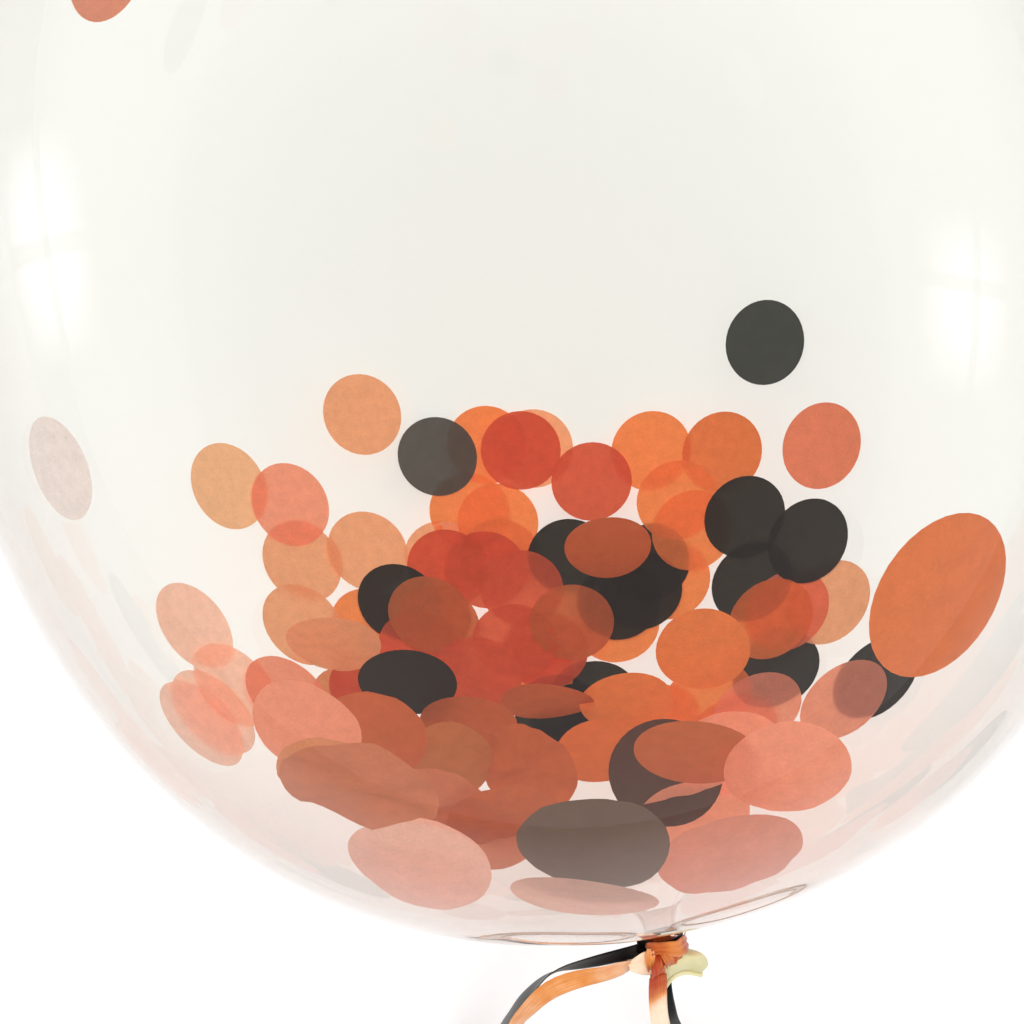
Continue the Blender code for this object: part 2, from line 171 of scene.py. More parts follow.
# Paper discs that lie on the film. Each is its shade, its place along the balloon's axis in millimetres, its
# place round the axis in degrees (270 is the bottom and 90 is under the top of the film) and how far it lies
# from the film in millimetres.
DISCS_ON_FILM = (
    ("salmon", 95, 194, 0.6),
    ("soft black", -15, 306, 1.2),
    ("peach", -12, 243, 0.6),
    ("orange", -28, 261, 0.6),
    ("peach", -32, 268, 1.0),
    ("charcoal", -29, 253, 1.6),
    ("red orange", -32, 266, 1.8),
    ("red orange", -46, 276, 1.6),
    ("orange", -40, 286, 0.8),
    ("deep orange", -45, 297, 1.2),
    ("coral", -49, 313, 1.6),
    ("pale peach", -28, 219, 0.6),
    ("salmon", -36, 228, 1.2),
    ("peach", -53, 227, 0.6),
    ("peach", -54, 238, 1.5),
    ("pale pink", -20, 189, 0.6),
    ("deep orange", -74, 66, 0.6),
    ("orange", -48, 256, 0.8),
    ("orange", -53, 260, 1.4),
    ("peach", -61, 250, 0.8),
    ("red orange", -64, 250, 1.6),
    ("red orange", -67, 256, 2.2),
    ("red orange", -64, 259, 1.2),
    ("red orange", -75, 261, 2.8),
    ("black", -68, 270, 1.4),
    ("black", -82, 281, 1.6),
    ("black", -74, 283, 1.0),
    ("black", -84, 277, 2.0),
    ("orange", -80, 286, 0.7),
    ("orange", -57, 289, 1.6),
    ("orange", -67, 291, 2.0),
    ("black", -66, 300, 2.8),
    ("black", -76, 311, 3.4),
    ("black", -85, 301, 2.4),
    ("peach", -93, 316, 3.0),
    ("coral", -94, 308, 3.0),
    ("deep orange", -96, 305, 3.6),
    ("black", -108, 307, 1.5),
    ("orange", -113, 293, 2.0),
    ("salmon", -117, 305, 2.5),
    ("salmon", -115, 325, 1.6),
    ("black", -110, 330, 0.8),
    ("black", -108, 269, 1.0),
    ("black", -110, 261, 1.5),
    ("black", -113, 264, 2.2),
    ("salmon", -102, 211, 2.0),
    ("black", -106, 224, 1.0),
    ("black", -71, 240, 1.4),
    ("rust", -77, 244, 3.0),
    ("peach", -71, 222, 2.0),
    ("orange", -76, 234, 1.0),
    ("salmon", -88, 211, 3.0),
    ("light salmon", -81, 203, 2.0),
    ("light salmon", -64, 203, 0.8),
    ("light salmon", -86, 191, 0.6),
    ("light salmon", -85, 195, 1.4),
    ("clay", -95, 223, 2.0),
    ("red orange", -94, 227, 3.0),
    ("red orange", -90, 257, 3.0),
    ("rust", -88, 268, 3.0),
    ("red orange", -94, 262, 2.0),
    ("rust", -80, 245, 2.0),
    ("red orange", -97, 248, 4.0),
    ("orange", -99, 258, 1.5),
    ("orange", -90, 276, 0.7),
    ("salmon", -121, 300, 1.5),
    ("red orange", -86, 240, 2.5),
    ("rust", -100, 244, 1.5),
    ("orange", -116, 281, 0.8),
)

# Paper discs that lean on the heap near the neck. Each is its shade, its middle across, along and up in
# millimetres, the way it looks round the vertical and away from it in degrees, and how deeply it is crumpled
# in millimetres.
DISCS_IN_HEAP = (
    ("rust", 11, -66, 31, 260, 44, 0),
    ("orange", 29, -97, 57, 253, 25, 0),
    ("salmon", 30, -112, 140, 254, 34, 0.3),
    ("dusky salmon", 11, -115, 176, 269, 44, 0.5),
    ("warm black", 8, -114, 114, 224, 12, 0),
    ("rust", 13, -106, 136, 250, 50, 0),
    ("orange", 6, -107, 57, 260, 43, 0),
    ("rust", -15, -103, 57, 258, 60, 0),
    ("rust", -36, -102, 70, 255, 48, 0),
    ("brown", -43, -108, 88, 279, 32, 0.6),
    ("rust", -23, -113, 88, 217, 27, 2.4),
    ("rust", -29, -116, 119, 265, 47, 0.8),
    ("brick", -46, -88, 196, 247, 50, 1.2),
    ("clay", -56, -94, 154, 246, 48, 0.6),
    ("dusty salmon", -42, -107, 176, 242, 42, 0.3),
    ("dusty salmon", -42, -108, 170, 241, 42, 0.3),
    ("smoke", -12, -107, 184, 252, 40, 0.5),
    ("dusty salmon", -15, -117, 178, 252, 60, 0),
    ("black", -49, -88, 75, 256, 42, 0),
    ("peach", -68, -76, 62, 256, 50, 0),
    ("salmon", 22, -111, 120, 258, 36, 0.4),
    ("brick", -44, -110, 118, 250, 40, 0.8),
    ("brick", -35, -120, 112, 255, 36, 0.5),
    ("deep orange", -3, -116, 72, 262, 40, 0),
    ("salmon", -68, -88, 118, 236, 34, 0.4),
    ("salmon", 13, -126, 109, 262, 38, 0.3),
    ("rust", -56, -95, 104, 244, 30, 0.6),
)


def linear(code):
    """A colour's sRGB hex code as linear red, green and blue."""
    shares = [int(code[i : i + 2], 16) / 255 for i in (1, 3, 5)]
    return tuple(s / 12.92 if s <= 0.04045 else ((s + 0.055) / 1.055) ** 2.4 for s in shares)


# Shades of the paper. Besides the paper's own colour, several paint light: the red and brown oranges are
# orange paper with painted shade, where discs lie stacked or black paper lies behind; the pale salmons and
# the pale pink are orange paper under a painted reflection of the film's glare and haze, and the palest
# black is black paper under the same painted reflection.
PAPER_SHADES = {
    "pale peach": "#EDB385",
    "peach": "#E59F74",
    "orange": "#E68349",
    "deep orange": "#D9733F",
    "clay": "#D4875C",
    "brown": "#BC7146",
    "brick": "#C67452",
    # Orange paper with painted shade, for black paper or stacked discs behind it
    "rust": "#BE643D",
    "red orange": "#CC5B3D",
    "coral": "#DD7B5A",
    "salmon": "#EB9576",
    "dusky salmon": "#D6866D",
    # Salmon under a painted reflection of the film's glare near its rim
    "light salmon": "#FEC8AE",
    # Salmon under a painted reflection of the film's haze
    "dusty salmon": "#E4B09C",
    # Paper under a painted reflection of the film's glare
    "pale pink": "#FFF0EA",
    # Black paper under a painted reflection of the film
    "smoke": "#6B5548",
    "charcoal": "#57524B",
    "soft black": "#40413C",
    "warm black": "#553C32",
    "black": "#332D27",
}


def length_setting(name, description, default):
    return bpy.props.FloatProperty(name=name, description=description, default=default, unit="LENGTH")


def colour_setting(name, description, code):
    return bpy.props.FloatVectorProperty(
        name=name, description=description, default=linear(code), subtype="COLOR"
    )


class SkinSettings(bpy.types.PropertyGroup):
    rest_spot_radius: length_setting(
        "Rest spot radius", "Radius of the flat spot that the balloon rests on", 0.022
    )
    neck_side_length: length_setting(
        "Neck side length",
        "Length of the body from its widest place to where its outline would end at the neck",
        -TIE.y - OUTLINE_GAP,
    )
    roundness: bpy.props.FloatProperty(
        name="Roundness",
        description="Power of the body's outline: 2 is an ellipse and more is squarer",
        default=2.2,
    )
    neck_radius: length_setting("Neck radius", "Radius of the gathered neck under the ribbons", 0.0033)
    flare_radius: length_setting(
        "Flare radius", "Radius of the hollow curve between the neck and the body", 0.0070
    )
    film_colour: colour_setting(
        "Film colour", "Colour that two walls of the film give to what is seen through them", "#EAEBE5"
    )
    neck_film_colour: colour_setting(
        "Film colour at the neck", "Colour of the thicker film towards the neck", "#ECD1C5"
    )
    rim_colour: colour_setting("Rim colour", "Colour of the film where it is seen edge on", "#CAC4BD")
    latex_colour: colour_setting(
        "Latex colour", "Colour of the film at the mouth, where it isn't stretched", "#CEC28E"
    )


class RibbonSettings(bpy.types.PropertyGroup):
    width: length_setting("Width", "Width of both ribbons", 0.0050)
    thickness: length_setting("Thickness", "Thickness of both ribbons", 0.0003)
    free_length: length_setting(
        "Free length", "Length of each free end, from the knot to its cut end, its coil included", 0.465
    )
    coil_pitch: length_setting("Coil pitch", "Space from one turn of a coil to the next", 0.0050)
    orange: colour_setting("Orange", "Colour of the orange ribbon", "#DB8A42")
    # Painted shade: the darker orange laid where the ribbon is gathered in the knot
    painted_shade_orange: colour_setting(
        "Deep orange", "Colour of the orange ribbon where it is gathered in the knot", "#A42A00"
    )
    # Painted highlight: the paler orange laid where the ribbon's gloss catches the light
    painted_highlight_orange: colour_setting(
        "Pale orange", "Colour of the orange ribbon where one layer is stretched out", "#FBDDBE"
    )
    black: colour_setting("Black", "Colour of the black ribbon", "#0E1011")


class PaperSettings(bpy.types.PropertyGroup):
    diameter: length_setting("Disc diameter", "Diameter of each paper disc", 0.0254)
    curl: length_setting("Curl", "How far the edges of a disc in the heap curl up", 0.0012)
    cloud_size: length_setting("Cloud size", "Size of the cloudy marks in the tissue", 0.0022)
    fibre_size: length_setting("Fibre size", "Size of the specks of fibre in the tissue", 0.0004)


class StageSettings(bpy.types.PropertyGroup):
    camera_place: bpy.props.FloatVectorProperty(
        name="Camera place",
        description="Place of the camera, which looks straight down",
        default=(-0.01446, -0.05022, 0.38197),
        subtype="TRANSLATION",
    )
    camera_roll: bpy.props.FloatProperty(
        name="Camera roll",
        description="Turn of the picture about the camera's line of sight",
        default=math.radians(-11),
        subtype="ANGLE",
    )
    sensor_width: bpy.props.FloatProperty(
        name="Sensor width", description="Width of the camera's sensor in millimetres", default=36
    )
    lens: bpy.props.FloatProperty(
        name="Lens", description="Focal length of the camera in millimetres", default=42.258
    )
    floor_side: length_setting("Floor side", "Side of the square floor", 12.0)


GROUPS = {
    "balloon_skin": SkinSettings,
    "balloon_ribbon": RibbonSettings,
    "balloon_paper": PaperSettings,
    "balloon_stage": StageSettings,
}


def add_node(tree, kind, inputs=None, **settings):
    """A node in a tree. Each input is a value, a node's socket, or a node, whose first output is used."""
    node = tree.nodes.new(kind)
    for name, value in settings.items():
        setattr(node, name, value)
    for key, value in (inputs or {}).items():
        if isinstance(value, (bpy.types.Node, bpy.types.NodeSocket)):
            tree.links.new(getattr(value, "outputs", [value])[0], node.inputs[key])
        else:
            node.inputs[key].default_value = value
    return node


def new_material(name):
    """A material and its tree, which is empty."""
    made = bpy.data.materials.new(name)
    made.use_nodes = True
    made.node_tree.nodes.clear()
    return made, made.node_tree


def shared_material(name, make):
    return bpy.data.materials.get(name) or make(name)


def put_object(name, mesh, *surfaces, smooth=True):
    made = bpy.data.objects.new(name, mesh)
    for surface in surfaces:
        mesh.materials.append(surface)
    if smooth:
        mesh.shade_smooth()
    bpy.context.scene.collection.objects.link(made)
    return made


def finished_mesh(work, name):
    """The mesh of a bmesh, which is freed."""
    mesh = bpy.data.meshes.new(name)
    work.to_mesh(mesh)
    work.free()
    return mesh


def skin_over(work, loops):
    """Cover loops of corners: faces from each loop to the next, and one over each end."""
    count = len(loops[0])
    for first, second in zip(loops, loops[1:]):
        for k in range(count):
            j = (k + 1) % count
            work.faces.new((first[k], first[j], second[j], second[k]))
    work.faces.new(loops[0])
    work.faces.new(loops[-1])
    bmesh.ops.recalc_face_normals(work, faces=work.faces)


def route_length(points):
    return sum((b - a).to_3d().length for a, b in zip(points, points[1:]))


def smooth_route(stops, step, samples=20):
    """Points about a step apart along a smooth curve that passes through the stops."""
    ends = [stops[0] * 2 - stops[1], *stops, stops[-1] * 2 - stops[-2]]
    fine = []
    for a, b, c, d in zip(ends, ends[1:], ends[2:], ends[3:]):
        for t in (i / samples for i in range(samples)):
            linear_part = (c - a) * t
            square = (a * 2 - b * 5 + c * 4 - d) * t**2
            cube = (b * 3 - a - c * 3 + d) * t**3
            fine.append((b * 2 + linear_part + square + cube) / 2)
    fine.append(stops[-1])
    return even_route(fine, step)


def even_route(fine, step):
    """Points that divide a fine route into equal lengths of about a step."""
    count = max(2, round(route_length(fine) / step))
    gap = route_length(fine) / count
    route, done = [fine[0]], 0.0
    for a, b in zip(fine, fine[1:]):
        piece = (b - a).to_3d().length
        while len(route) < count and done + piece >= gap * len(route):
            route.append(a.lerp(b, (gap * len(route) - done) / piece))
        done += piece
    return [*route, fine[-1]]


def along_route(route, i):
    return (route[min(i + 1, len(route) - 1)] - route[max(i - 1, 0)]).to_3d().normalized()


def facing_of_turn(along, turn):
    """The way a ribbon's face looks, from its turn about its length in degrees."""
    level = along.cross(Vector((0, 0, 1))).normalized()
    across = level * math.cos(math.radians(turn)) + level.cross(along) * math.sin(math.radians(turn))
    return across.cross(along)


def eased(share):
    return share * share * (3 - 2 * share)


def tone_at(done, tones):
    """The tone at a length along a ribbon, from its tones at lengths in millimetres."""
    for (first, a), (second, b) in zip(tones, tones[1:]):
        if done < second * MM:
            return a + (b - a) * eased(max(0.0, done / MM - first) / (second - first))
    return tones[-1][1]


def ribbon_mesh(name, points, facings, widths, cup, step, tones):
    """A ribbon along points a step apart, each with the way that its face looks and its width.

    Its edges curl up by the cup. Where it is narrower than the ribbon's full width, the rest of the width is
    gathered in folds along it. Its UV map is in metres: U along the ribbon and V across it.
    """
    across_steps = 12
    edge_thinning, edge_power, cup_level = 0.75, 6, 0.4
    fold_share, fold_waves, fold_drift = 0.1, 8.5, 240
    settings = bpy.context.scene.balloon_ribbon
    work = bmesh.new()
    # Each point's tone: painted shade below 0, painted highlight above 0
    tone_layer = work.verts.layers.float.new("tone")
    uv = work.loops.layers.uv.new("along ribbon")
    loops, places = [], {}
    done = 0.0
    for i, point in enumerate(points):
        if i:
            done += (point - points[i - 1]).length
        along = along_route(points, i)
        facing = (facings[i] - along * facings[i].dot(along)).normalized()
        across = along.cross(facing)
        gather = fold_share * max(0.0, settings.width - widths[i])
        tone = tone_at(i * step, tones)
        loop = []
        for side in (1, -1):
            for k in range(across_steps + 1):
                share = (-1 + 2 * k / across_steps) * side
                edge = 1 - edge_thinning * abs(share) ** edge_power
                fold = gather * math.sin(fold_waves * share + fold_drift * done)
                height = side * settings.thickness / 2 * edge + cup * (share * share - cup_level) + fold
                offset = across * share * widths[i] / 2 + facing * height
                corner = work.verts.new(point + offset)
                corner[tone_layer] = tone
                places[corner] = (done, share * widths[i] / 2)
                loop.append(corner)
        loops.append(loop)
    skin_over(work, loops)
    for face in work.faces:
        for corner in face.loops:
            corner[uv].uv = places[corner.vert]
    return finished_mesh(work, name)


def satin_ribbon(name, shades, gloss):
    """Satin ribbon, woven from polyester: fine ribs run along it, and its soft gloss streaks with them.

    Its tone goes from deep, a painted shade where it is gathered in the knot, to pale, a painted highlight
    where its gloss catches the light. The ribs, 0.3 mm apart, are drawn a little coarser than the real
    threads, so that they show.
    """
    made, tree = new_material(name)
    place = add_node(tree, "ShaderNodeUVMap", uv_map="along ribbon")
    ribs_each_metre, streaks_each_metre = 3300, 90
    stretched = add_node(
        tree, "ShaderNodeMapping", {"Vector": place, "Scale": (streaks_each_metre, ribs_each_metre, 1)}
    )
    threads = add_node(tree, "ShaderNodeTexNoise", {"Vector": stretched, "Scale": 1.0, "Detail": 3.0})
    cloud = add_node(tree, "ShaderNodeTexNoise", {"Vector": place, "Scale": 220.0, "Detail": 2.0})
    tone = add_node(tree, "ShaderNodeAttribute", attribute_name="tone")
    noise = add_node(tree, "ShaderNodeMath", {0: threads, 1: cloud}, operation="ADD")
    limits = {"From Min": 0.7, "From Max": 1.3, "To Min": -0.25, "To Max": 0.25}
    uneven = add_node(tree, "ShaderNodeMapRange", {"Value": noise, **limits})
    # The tone picks painted shade, the own colour or painted highlight, shifted a little by the weave's
    # unevenness
    depth = add_node(tree, "ShaderNodeMath", {0: tone.outputs["Fac"], 1: uneven}, operation="ADD")
    ramp = add_node(tree, "ShaderNodeMapRange", {"Value": depth, "From Min": -1.0, "From Max": 1.0})
    colours = add_node(tree, "ShaderNodeValToRGB", {"Fac": ramp})
    stops = colours.color_ramp.elements
    stops.new(0.5)
    for stop, shade in zip(stops, shades):
        stop.color = (*shade, 1)
    bump = add_node(tree, "ShaderNodeBump", {"Height": threads, "Strength": 0.2, "Distance": 0.0002})
    shader = add_node(
        tree,
        "ShaderNodeBsdfPrincipled",
        {
            "Base Color": colours.outputs["Color"],
            "Normal": bump.outputs["Normal"],
            "Roughness": 0.3,
            "IOR": 1.55,
            "Specular IOR Level": gloss,
        },
    )
    add_node(tree, "ShaderNodeOutputMaterial", {"Surface": shader})
    return made


def ribbon_surface(shade):
    settings = bpy.context.scene.balloon_ribbon
    if shade == "orange":
        # The deep colour is painted shade and the pale one a painted highlight
        shades, gloss = (settings.painted_shade_orange, settings.orange, settings.painted_highlight_orange), 0.4
    else:
        shades, gloss = (settings.black, settings.black, linear("#1E2123")), 0.07
    return shared_material(f"{shade} satin ribbon", lambda name: satin_ribbon(name, shades, gloss))


def coil_route(entry, level, length, step):
    """The wound end of a ribbon: turns on edge, from the free end's last point inwards."""
    settings = bpy.context.scene.balloon_ribbon
    start_radius = COIL_OUTER_RADIUS + COIL_ENTRY_GAP
    centre = Vector((entry.x + start_radius, entry.y, 0))
    height = level + settings.width / 2
    points, done, angle = [], 0.0, math.pi
    while done < length:
        radius = start_radius - settings.coil_pitch * (angle - math.pi) / math.tau
        points.append(centre + Vector((radius * math.cos(angle), radius * math.sin(angle), height)))
        angle += step / radius
        done += step
    return points


def free_end(name, stops, coil_node, level, shade, tones):
    """A free end of ribbon with its coil, of its real length."""
    settings = bpy.context.scene.balloon_ribbon
    step, cup, on_edge = 0.002, 0.0002, 90
    coil = middle(coil_node)
    entry = Vector((coil.x - COIL_OUTER_RADIUS - COIL_ENTRY_GAP, coil.y, level + settings.width / 2))
    route_stops = [Vector((x * MM, TIE.y + y * MM, z * MM, turn)) for x, y, z, turn in stops]
    route_stops.append(Vector((*entry, on_edge)))
    route = smooth_route(route_stops, step)
    points = [p.to_3d() for p in route]
    facings = [facing_of_turn(along_route(route, i), p.w) for i, p in enumerate(route)]
    left = settings.free_length - route_length(route)
    points += coil_route(entry, level, left, step)[1:]
    facings += [facing_of_turn(along_route(points, i), on_edge) for i in range(len(route), len(points))]
    mesh = ribbon_mesh(name, points, facings, [settings.width] * len(points), cup, step, tones)
    ribbon = put_object(name, mesh, ribbon_surface(shade))
    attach(ribbon, "root")
    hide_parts(name, coil_node)


def body_radius():
    """The body's radius at its widest place, where the flat spot that it rests on is cut from its round."""
    return math.hypot(AXIS_HEIGHT, bpy.context.scene.balloon_skin.rest_spot_radius)


def body_point(angle):
    """Radius and place along Y of the body's outline, from its top (0) round to the neck's side (pi)."""
    skin = bpy.context.scene.balloon_skin
    length = TOP_LENGTH if angle < math.pi / 2 else skin.neck_side_length
    along = math.copysign(abs(math.cos(angle)) ** (2 / skin.roundness), math.cos(angle))
    across = abs(math.sin(angle)) ** (2 / skin.roundness)
    return body_radius() * across, length * along


def find_flare():
    """The outline's angle where the hollow curve of the neck begins, and that curve's centre."""
    skin = bpy.context.scene.balloon_skin
    search_from, tries, halvings = 0.8, 400, 40
    centre_radius = skin.neck_radius + skin.flare_radius
    angles = [math.pi * (search_from + (1 - search_from) * i / tries) for i in range(tries)]

    def nearest(centre_y):
        return min((math.dist(body_point(a), (centre_radius, centre_y)), a) for a in angles)

    inside, outside = -skin.neck_side_length, -skin.neck_side_length - 3 * skin.flare_radius
    for _ in range(halvings):
        halfway = (inside + outside) / 2
        if nearest(halfway)[0] < skin.flare_radius:
            inside = halfway
        else:
            outside = halfway
    return nearest(outside)[1], centre_radius, outside


def skin_outline(body_steps, flare_steps):
    """Radius and Y of the film's outline, from the top of the balloon to the tie."""
    skin = bpy.context.scene.balloon_skin
    flare_angle, centre_radius, centre_y = find_flare()
    rings = [body_point(flare_angle * i / body_steps) for i in range(body_steps + 1)]
    first = math.atan2(rings[-1][1] - centre_y, rings[-1][0] - centre_radius)
    for i in range(1, flare_steps + 1):
        turned = first + (math.pi - first) * i / flare_steps
        across = centre_radius + skin.flare_radius * math.cos(turned)
        rings.append((across, centre_y + skin.flare_radius * math.sin(turned)))
    rings.append((skin.neck_radius, TIE.y))
    return rings


def outline_mesh():
    """The film's outline laid out along the balloon's axis: a point for each ring, with its radius."""
    rings = skin_outline(body_steps=120, flare_steps=16)
    mesh = bpy.data.meshes.new("film outline")
    edges = [(i, i + 1) for i in range(len(rings) - 1)]
    mesh.from_pydata([(0, y, AXIS_HEIGHT) for _, y in rings], edges, [])
    mesh.attributes.new("ring radius", "FLOAT", "POINT")
    for point, (radius, _) in zip(mesh.attributes["ring radius"].data, rings):
        point.value = radius
    return mesh


def new_tree(name, inputs):
    """An empty tree of geometry nodes with its inputs, and the sockets that give them inside it."""
    tree = bpy.data.node_groups.new(name, "GeometryNodeTree")
    for label, kind in {"Geometry": "Geometry", **inputs}.items():
        tree.interface.new_socket(label, in_out="INPUT", socket_type=f"NodeSocket{kind}")
    tree.interface.new_socket("Geometry", in_out="OUTPUT", socket_type="NodeSocketGeometry")
    return tree, add_node(tree, "NodeGroupInput").outputs


def end_tree(tree, shape, surface):
    whole = add_node(tree, "GeometryNodeRealizeInstances", {"Geometry": shape})
    dressed = add_node(tree, "GeometryNodeSetMaterial", {"Geometry": whole, "Material": surface})
    add_node(tree, "NodeGroupOutput", {"Geometry": dressed})


def made_by_nodes(name, mesh, tree, values):
    """The plain mesh that a tree of geometry nodes makes from a mesh, with the tree's inputs set."""
    start = put_object(name, mesh, smooth=False)
    layer = start.modifiers.new(name, "NODES")
    layer.node_group = tree
    sockets = {s.name: s.identifier for s in tree.interface.items_tree if s.in_out == "INPUT"}
    for label, value in values.items():
        layer[sockets[label]] = value
    bpy.context.view_layer.update()
    made = bpy.data.meshes.new_from_object(start.evaluated_get(bpy.context.evaluated_depsgraph_get()))
    bpy.data.objects.remove(start)
    return made


def film_tree():
    """Geometry nodes that turn the outline about the axis, pleat the neck and flatten the foot."""
    tree, given = new_tree(
        "film round the axis",
        {
            "Segments": "Int",
            "Axis Height": "Float",
            "Pleats From": "Float",
            "Pleats To": "Float",
            "Pleat Height": "Float",
            "Floor Gap": "Float",
            "Film": "Material",
        },
    )
    line = add_node(tree, "GeometryNodeMeshToCurve", {"Mesh": given["Geometry"]})
    radius = add_node(tree, "GeometryNodeInputNamedAttribute", {"Name": "ring radius"}, data_type="FLOAT")
    ring = add_node(
        tree, "GeometryNodeCurvePrimitiveCircle", {"Resolution": given["Segments"], "Radius": 1.0}
    )
    turned = add_node(
        tree,
        "GeometryNodeCurveToMesh",
        {"Curve": line, "Profile Curve": ring, "Scale": radius, "Fill Caps": True},
    )
    closed = add_node(tree, "GeometryNodeMergeByDistance", {"Geometry": turned, "Distance": 1e-6})

    # Each point's way and distance from the axis, and its angle round it
    place = add_node(tree, "GeometryNodeInputPosition")
    axis = add_node(tree, "ShaderNodeCombineXYZ", {"Z": given["Axis Height"]})
    from_axis = add_node(tree, "ShaderNodeVectorMath", {0: place, 1: axis}, operation="SUBTRACT")
    off_axis = add_node(tree, "ShaderNodeVectorMath", {0: from_axis, 1: (1, 0, 1)}, operation="MULTIPLY")
    outward = add_node(tree, "ShaderNodeVectorMath", {0: off_axis}, operation="NORMALIZE")
    reach = add_node(tree, "ShaderNodeVectorMath", {0: off_axis}, operation="LENGTH")
    side = add_node(tree, "ShaderNodeSeparateXYZ", {"Vector": off_axis}).outputs
    angle = add_node(tree, "ShaderNodeMath", {0: side["Z"], 1: side["X"]}, operation="ARCTAN2")

    # The pleats: two rows of waves round the neck, higher towards the tie, and at most a share of the radius
    most_share = 0.12
    waves = []
    for count, shift, size in ((11, 1.0, 0.6), (17, 2.2, 0.4)):
        phase = add_node(tree, "ShaderNodeMath", {0: angle, 1: count, 2: shift}, operation="MULTIPLY_ADD")
        wave = add_node(tree, "ShaderNodeMath", {0: phase}, operation="SINE")
        waves.append(add_node(tree, "ShaderNodeMath", {0: wave, 1: size}, operation="MULTIPLY"))
    pleats = add_node(tree, "ShaderNodeMath", {0: waves[0], 1: waves[1]}, operation="ADD")
    along = add_node(tree, "ShaderNodeSeparateXYZ", {"Vector": place}).outputs["Y"]
    limits = {"From Min": given["Pleats From"], "From Max": given["Pleats To"]}
    gathered = add_node(tree, "ShaderNodeMapRange", {"Value": along, **limits})
    deep = add_node(tree, "ShaderNodeMath", {0: gathered, 1: 2.0}, operation="POWER")
    height = add_node(tree, "ShaderNodeMath", {0: deep, 1: given["Pleat Height"]}, operation="MULTIPLY")
    most = add_node(tree, "ShaderNodeMath", {0: reach.outputs["Value"], 1: most_share}, operation="MULTIPLY")
    kept = add_node(tree, "ShaderNodeMath", {0: height, 1: most}, operation="MINIMUM")
    stands_out = add_node(tree, "ShaderNodeMath", {0: kept, 1: pleats}, operation="MULTIPLY")
    pleat = add_node(tree, "ShaderNodeVectorMath", {0: outward, "Scale": stands_out}, operation="SCALE")
    pleated = add_node(tree, "ShaderNodeVectorMath", {0: pleat, 1: place}, operation="ADD")

    # Nothing lies lower than the floor: the other two values are past the balloon's least X and Y
    floor = add_node(tree, "ShaderNodeCombineXYZ", {"X": -1.0, "Y": -1.0, "Z": given["Floor Gap"]})
    rested = add_node(tree, "ShaderNodeVectorMath", {0: pleated, 1: floor}, operation="MAXIMUM")
    moved = add_node(tree, "GeometryNodeSetPosition", {"Geometry": closed, "Position": rested})
    end_tree(tree, moved, given["Film"])
    return tree


def stretched_film(name):
    """Clear film, blown and stretched to a few hundredths of a millimetre.

    A wall so thin bends no light, so the body's IOR is 1, and the gloss of its surface is the coat's. Seen
    edge on, more of the film lies in the way, which darkens its rim, and it is pinker towards the neck.
    """
    made, tree = new_material(name)
    settings = bpy.context.scene.balloon_skin
    edge_on = add_node(tree, "ShaderNodeLayerWeight", {"Blend": 0.5}).outputs["Facing"]
    rim = add_node(
        tree,
        "ShaderNodeMapRange",
        {"Value": edge_on, "From Min": 0.35, "From Max": 0.95},
        interpolation_type="SMOOTHSTEP",
    )
    place = add_node(tree, "ShaderNodeTexCoord").outputs["Object"]
    along = add_node(tree, "ShaderNodeSeparateXYZ", {"Vector": place}).outputs["Y"]
    near_neck = add_node(
        tree,
        "ShaderNodeMapRange",
        {"Value": along, "From Min": -0.070, "From Max": TIE.y},
        interpolation_type="SMOOTHSTEP",
    )
    body = add_node(
        tree,
        "ShaderNodeMix",
        {"Factor": near_neck, "A": (*settings.film_colour, 1), "B": (*settings.neck_film_colour, 1)},
        data_type="RGBA",
    )
    # At the neck the rim is weaker by this share
    rim_loss = 0.4
    strength = add_node(
        tree, "ShaderNodeMath", {0: near_neck, 1: -rim_loss, 2: 1.0}, operation="MULTIPLY_ADD"
    )
    rim = add_node(tree, "ShaderNodeMath", {0: rim, 1: strength}, operation="MULTIPLY")
    colour = add_node(
        tree,
        "ShaderNodeMix",
        {"Factor": rim, "A": body.outputs["Result"], "B": (*settings.rim_colour, 1)},
        data_type="RGBA",
    )
    shader = add_node(
        tree,
        "ShaderNodeBsdfPrincipled",
        {
            "Base Color": colour.outputs["Result"],
            "Roughness": 0.0,
            "IOR": 1.0,
            "Transmission Weight": 1.0,
            "Coat Weight": 1.0,
            "Coat IOR": 1.5,
            "Coat Roughness": 0.0,
        },
    )
    add_node(tree, "ShaderNodeOutputMaterial", {"Surface": shader})
    return made


def mouth_latex(name):
    """Unstretched latex at the mouth: pale yellow, softly glossy, and lit through where it is thin."""
    made, tree = new_material(name)
    latex = bpy.context.scene.balloon_skin.latex_colour
    place = add_node(tree, "ShaderNodeTexCoord").outputs["Object"]
    cloud = add_node(tree, "ShaderNodeTexNoise", {"Vector": place, "Scale": 300.0, "Detail": 3.0})
    colours = add_node(
        tree,
        "ShaderNodeMix",
        {"Factor": cloud.outputs["Fac"], "A": (*latex, 1), "B": (*linear("#DED5AC"), 1)},
        data_type="RGBA",
    )
    shader = add_node(
        tree,
        "ShaderNodeBsdfPrincipled",
        {
            "Base Color": colours.outputs["Result"],
            "Roughness": 0.35,
            "IOR": 1.52,
            "Subsurface Weight": 0.5,
            "Subsurface Radius": (0.003, 0.0025, 0.0015),
            "Subsurface Scale": 1.0,
        },
    )
    add_node(tree, "ShaderNodeOutputMaterial", {"Surface": shader})
    return made


# The two edges of the flattened mouth, from the tie to the rim: each stop is across, along and up from the
# tie in millimetres
MOUTH_LEFT_EDGE = ((-2.4, 0.8, 0), (-2.6, -1.2, 0), (-2.5, -4.0, 0), (-2.0, -6.6, -0.6), (-1.3, -8.4, -1.2))
MOUTH_RIGHT_EDGE = ((2.4, 0.8, 0), (5.0, -0.9, 0.3), (8.0, -2.3, 0.2), (8.9, -4.9, -0.1), (6.8, -6.9, -0.4))


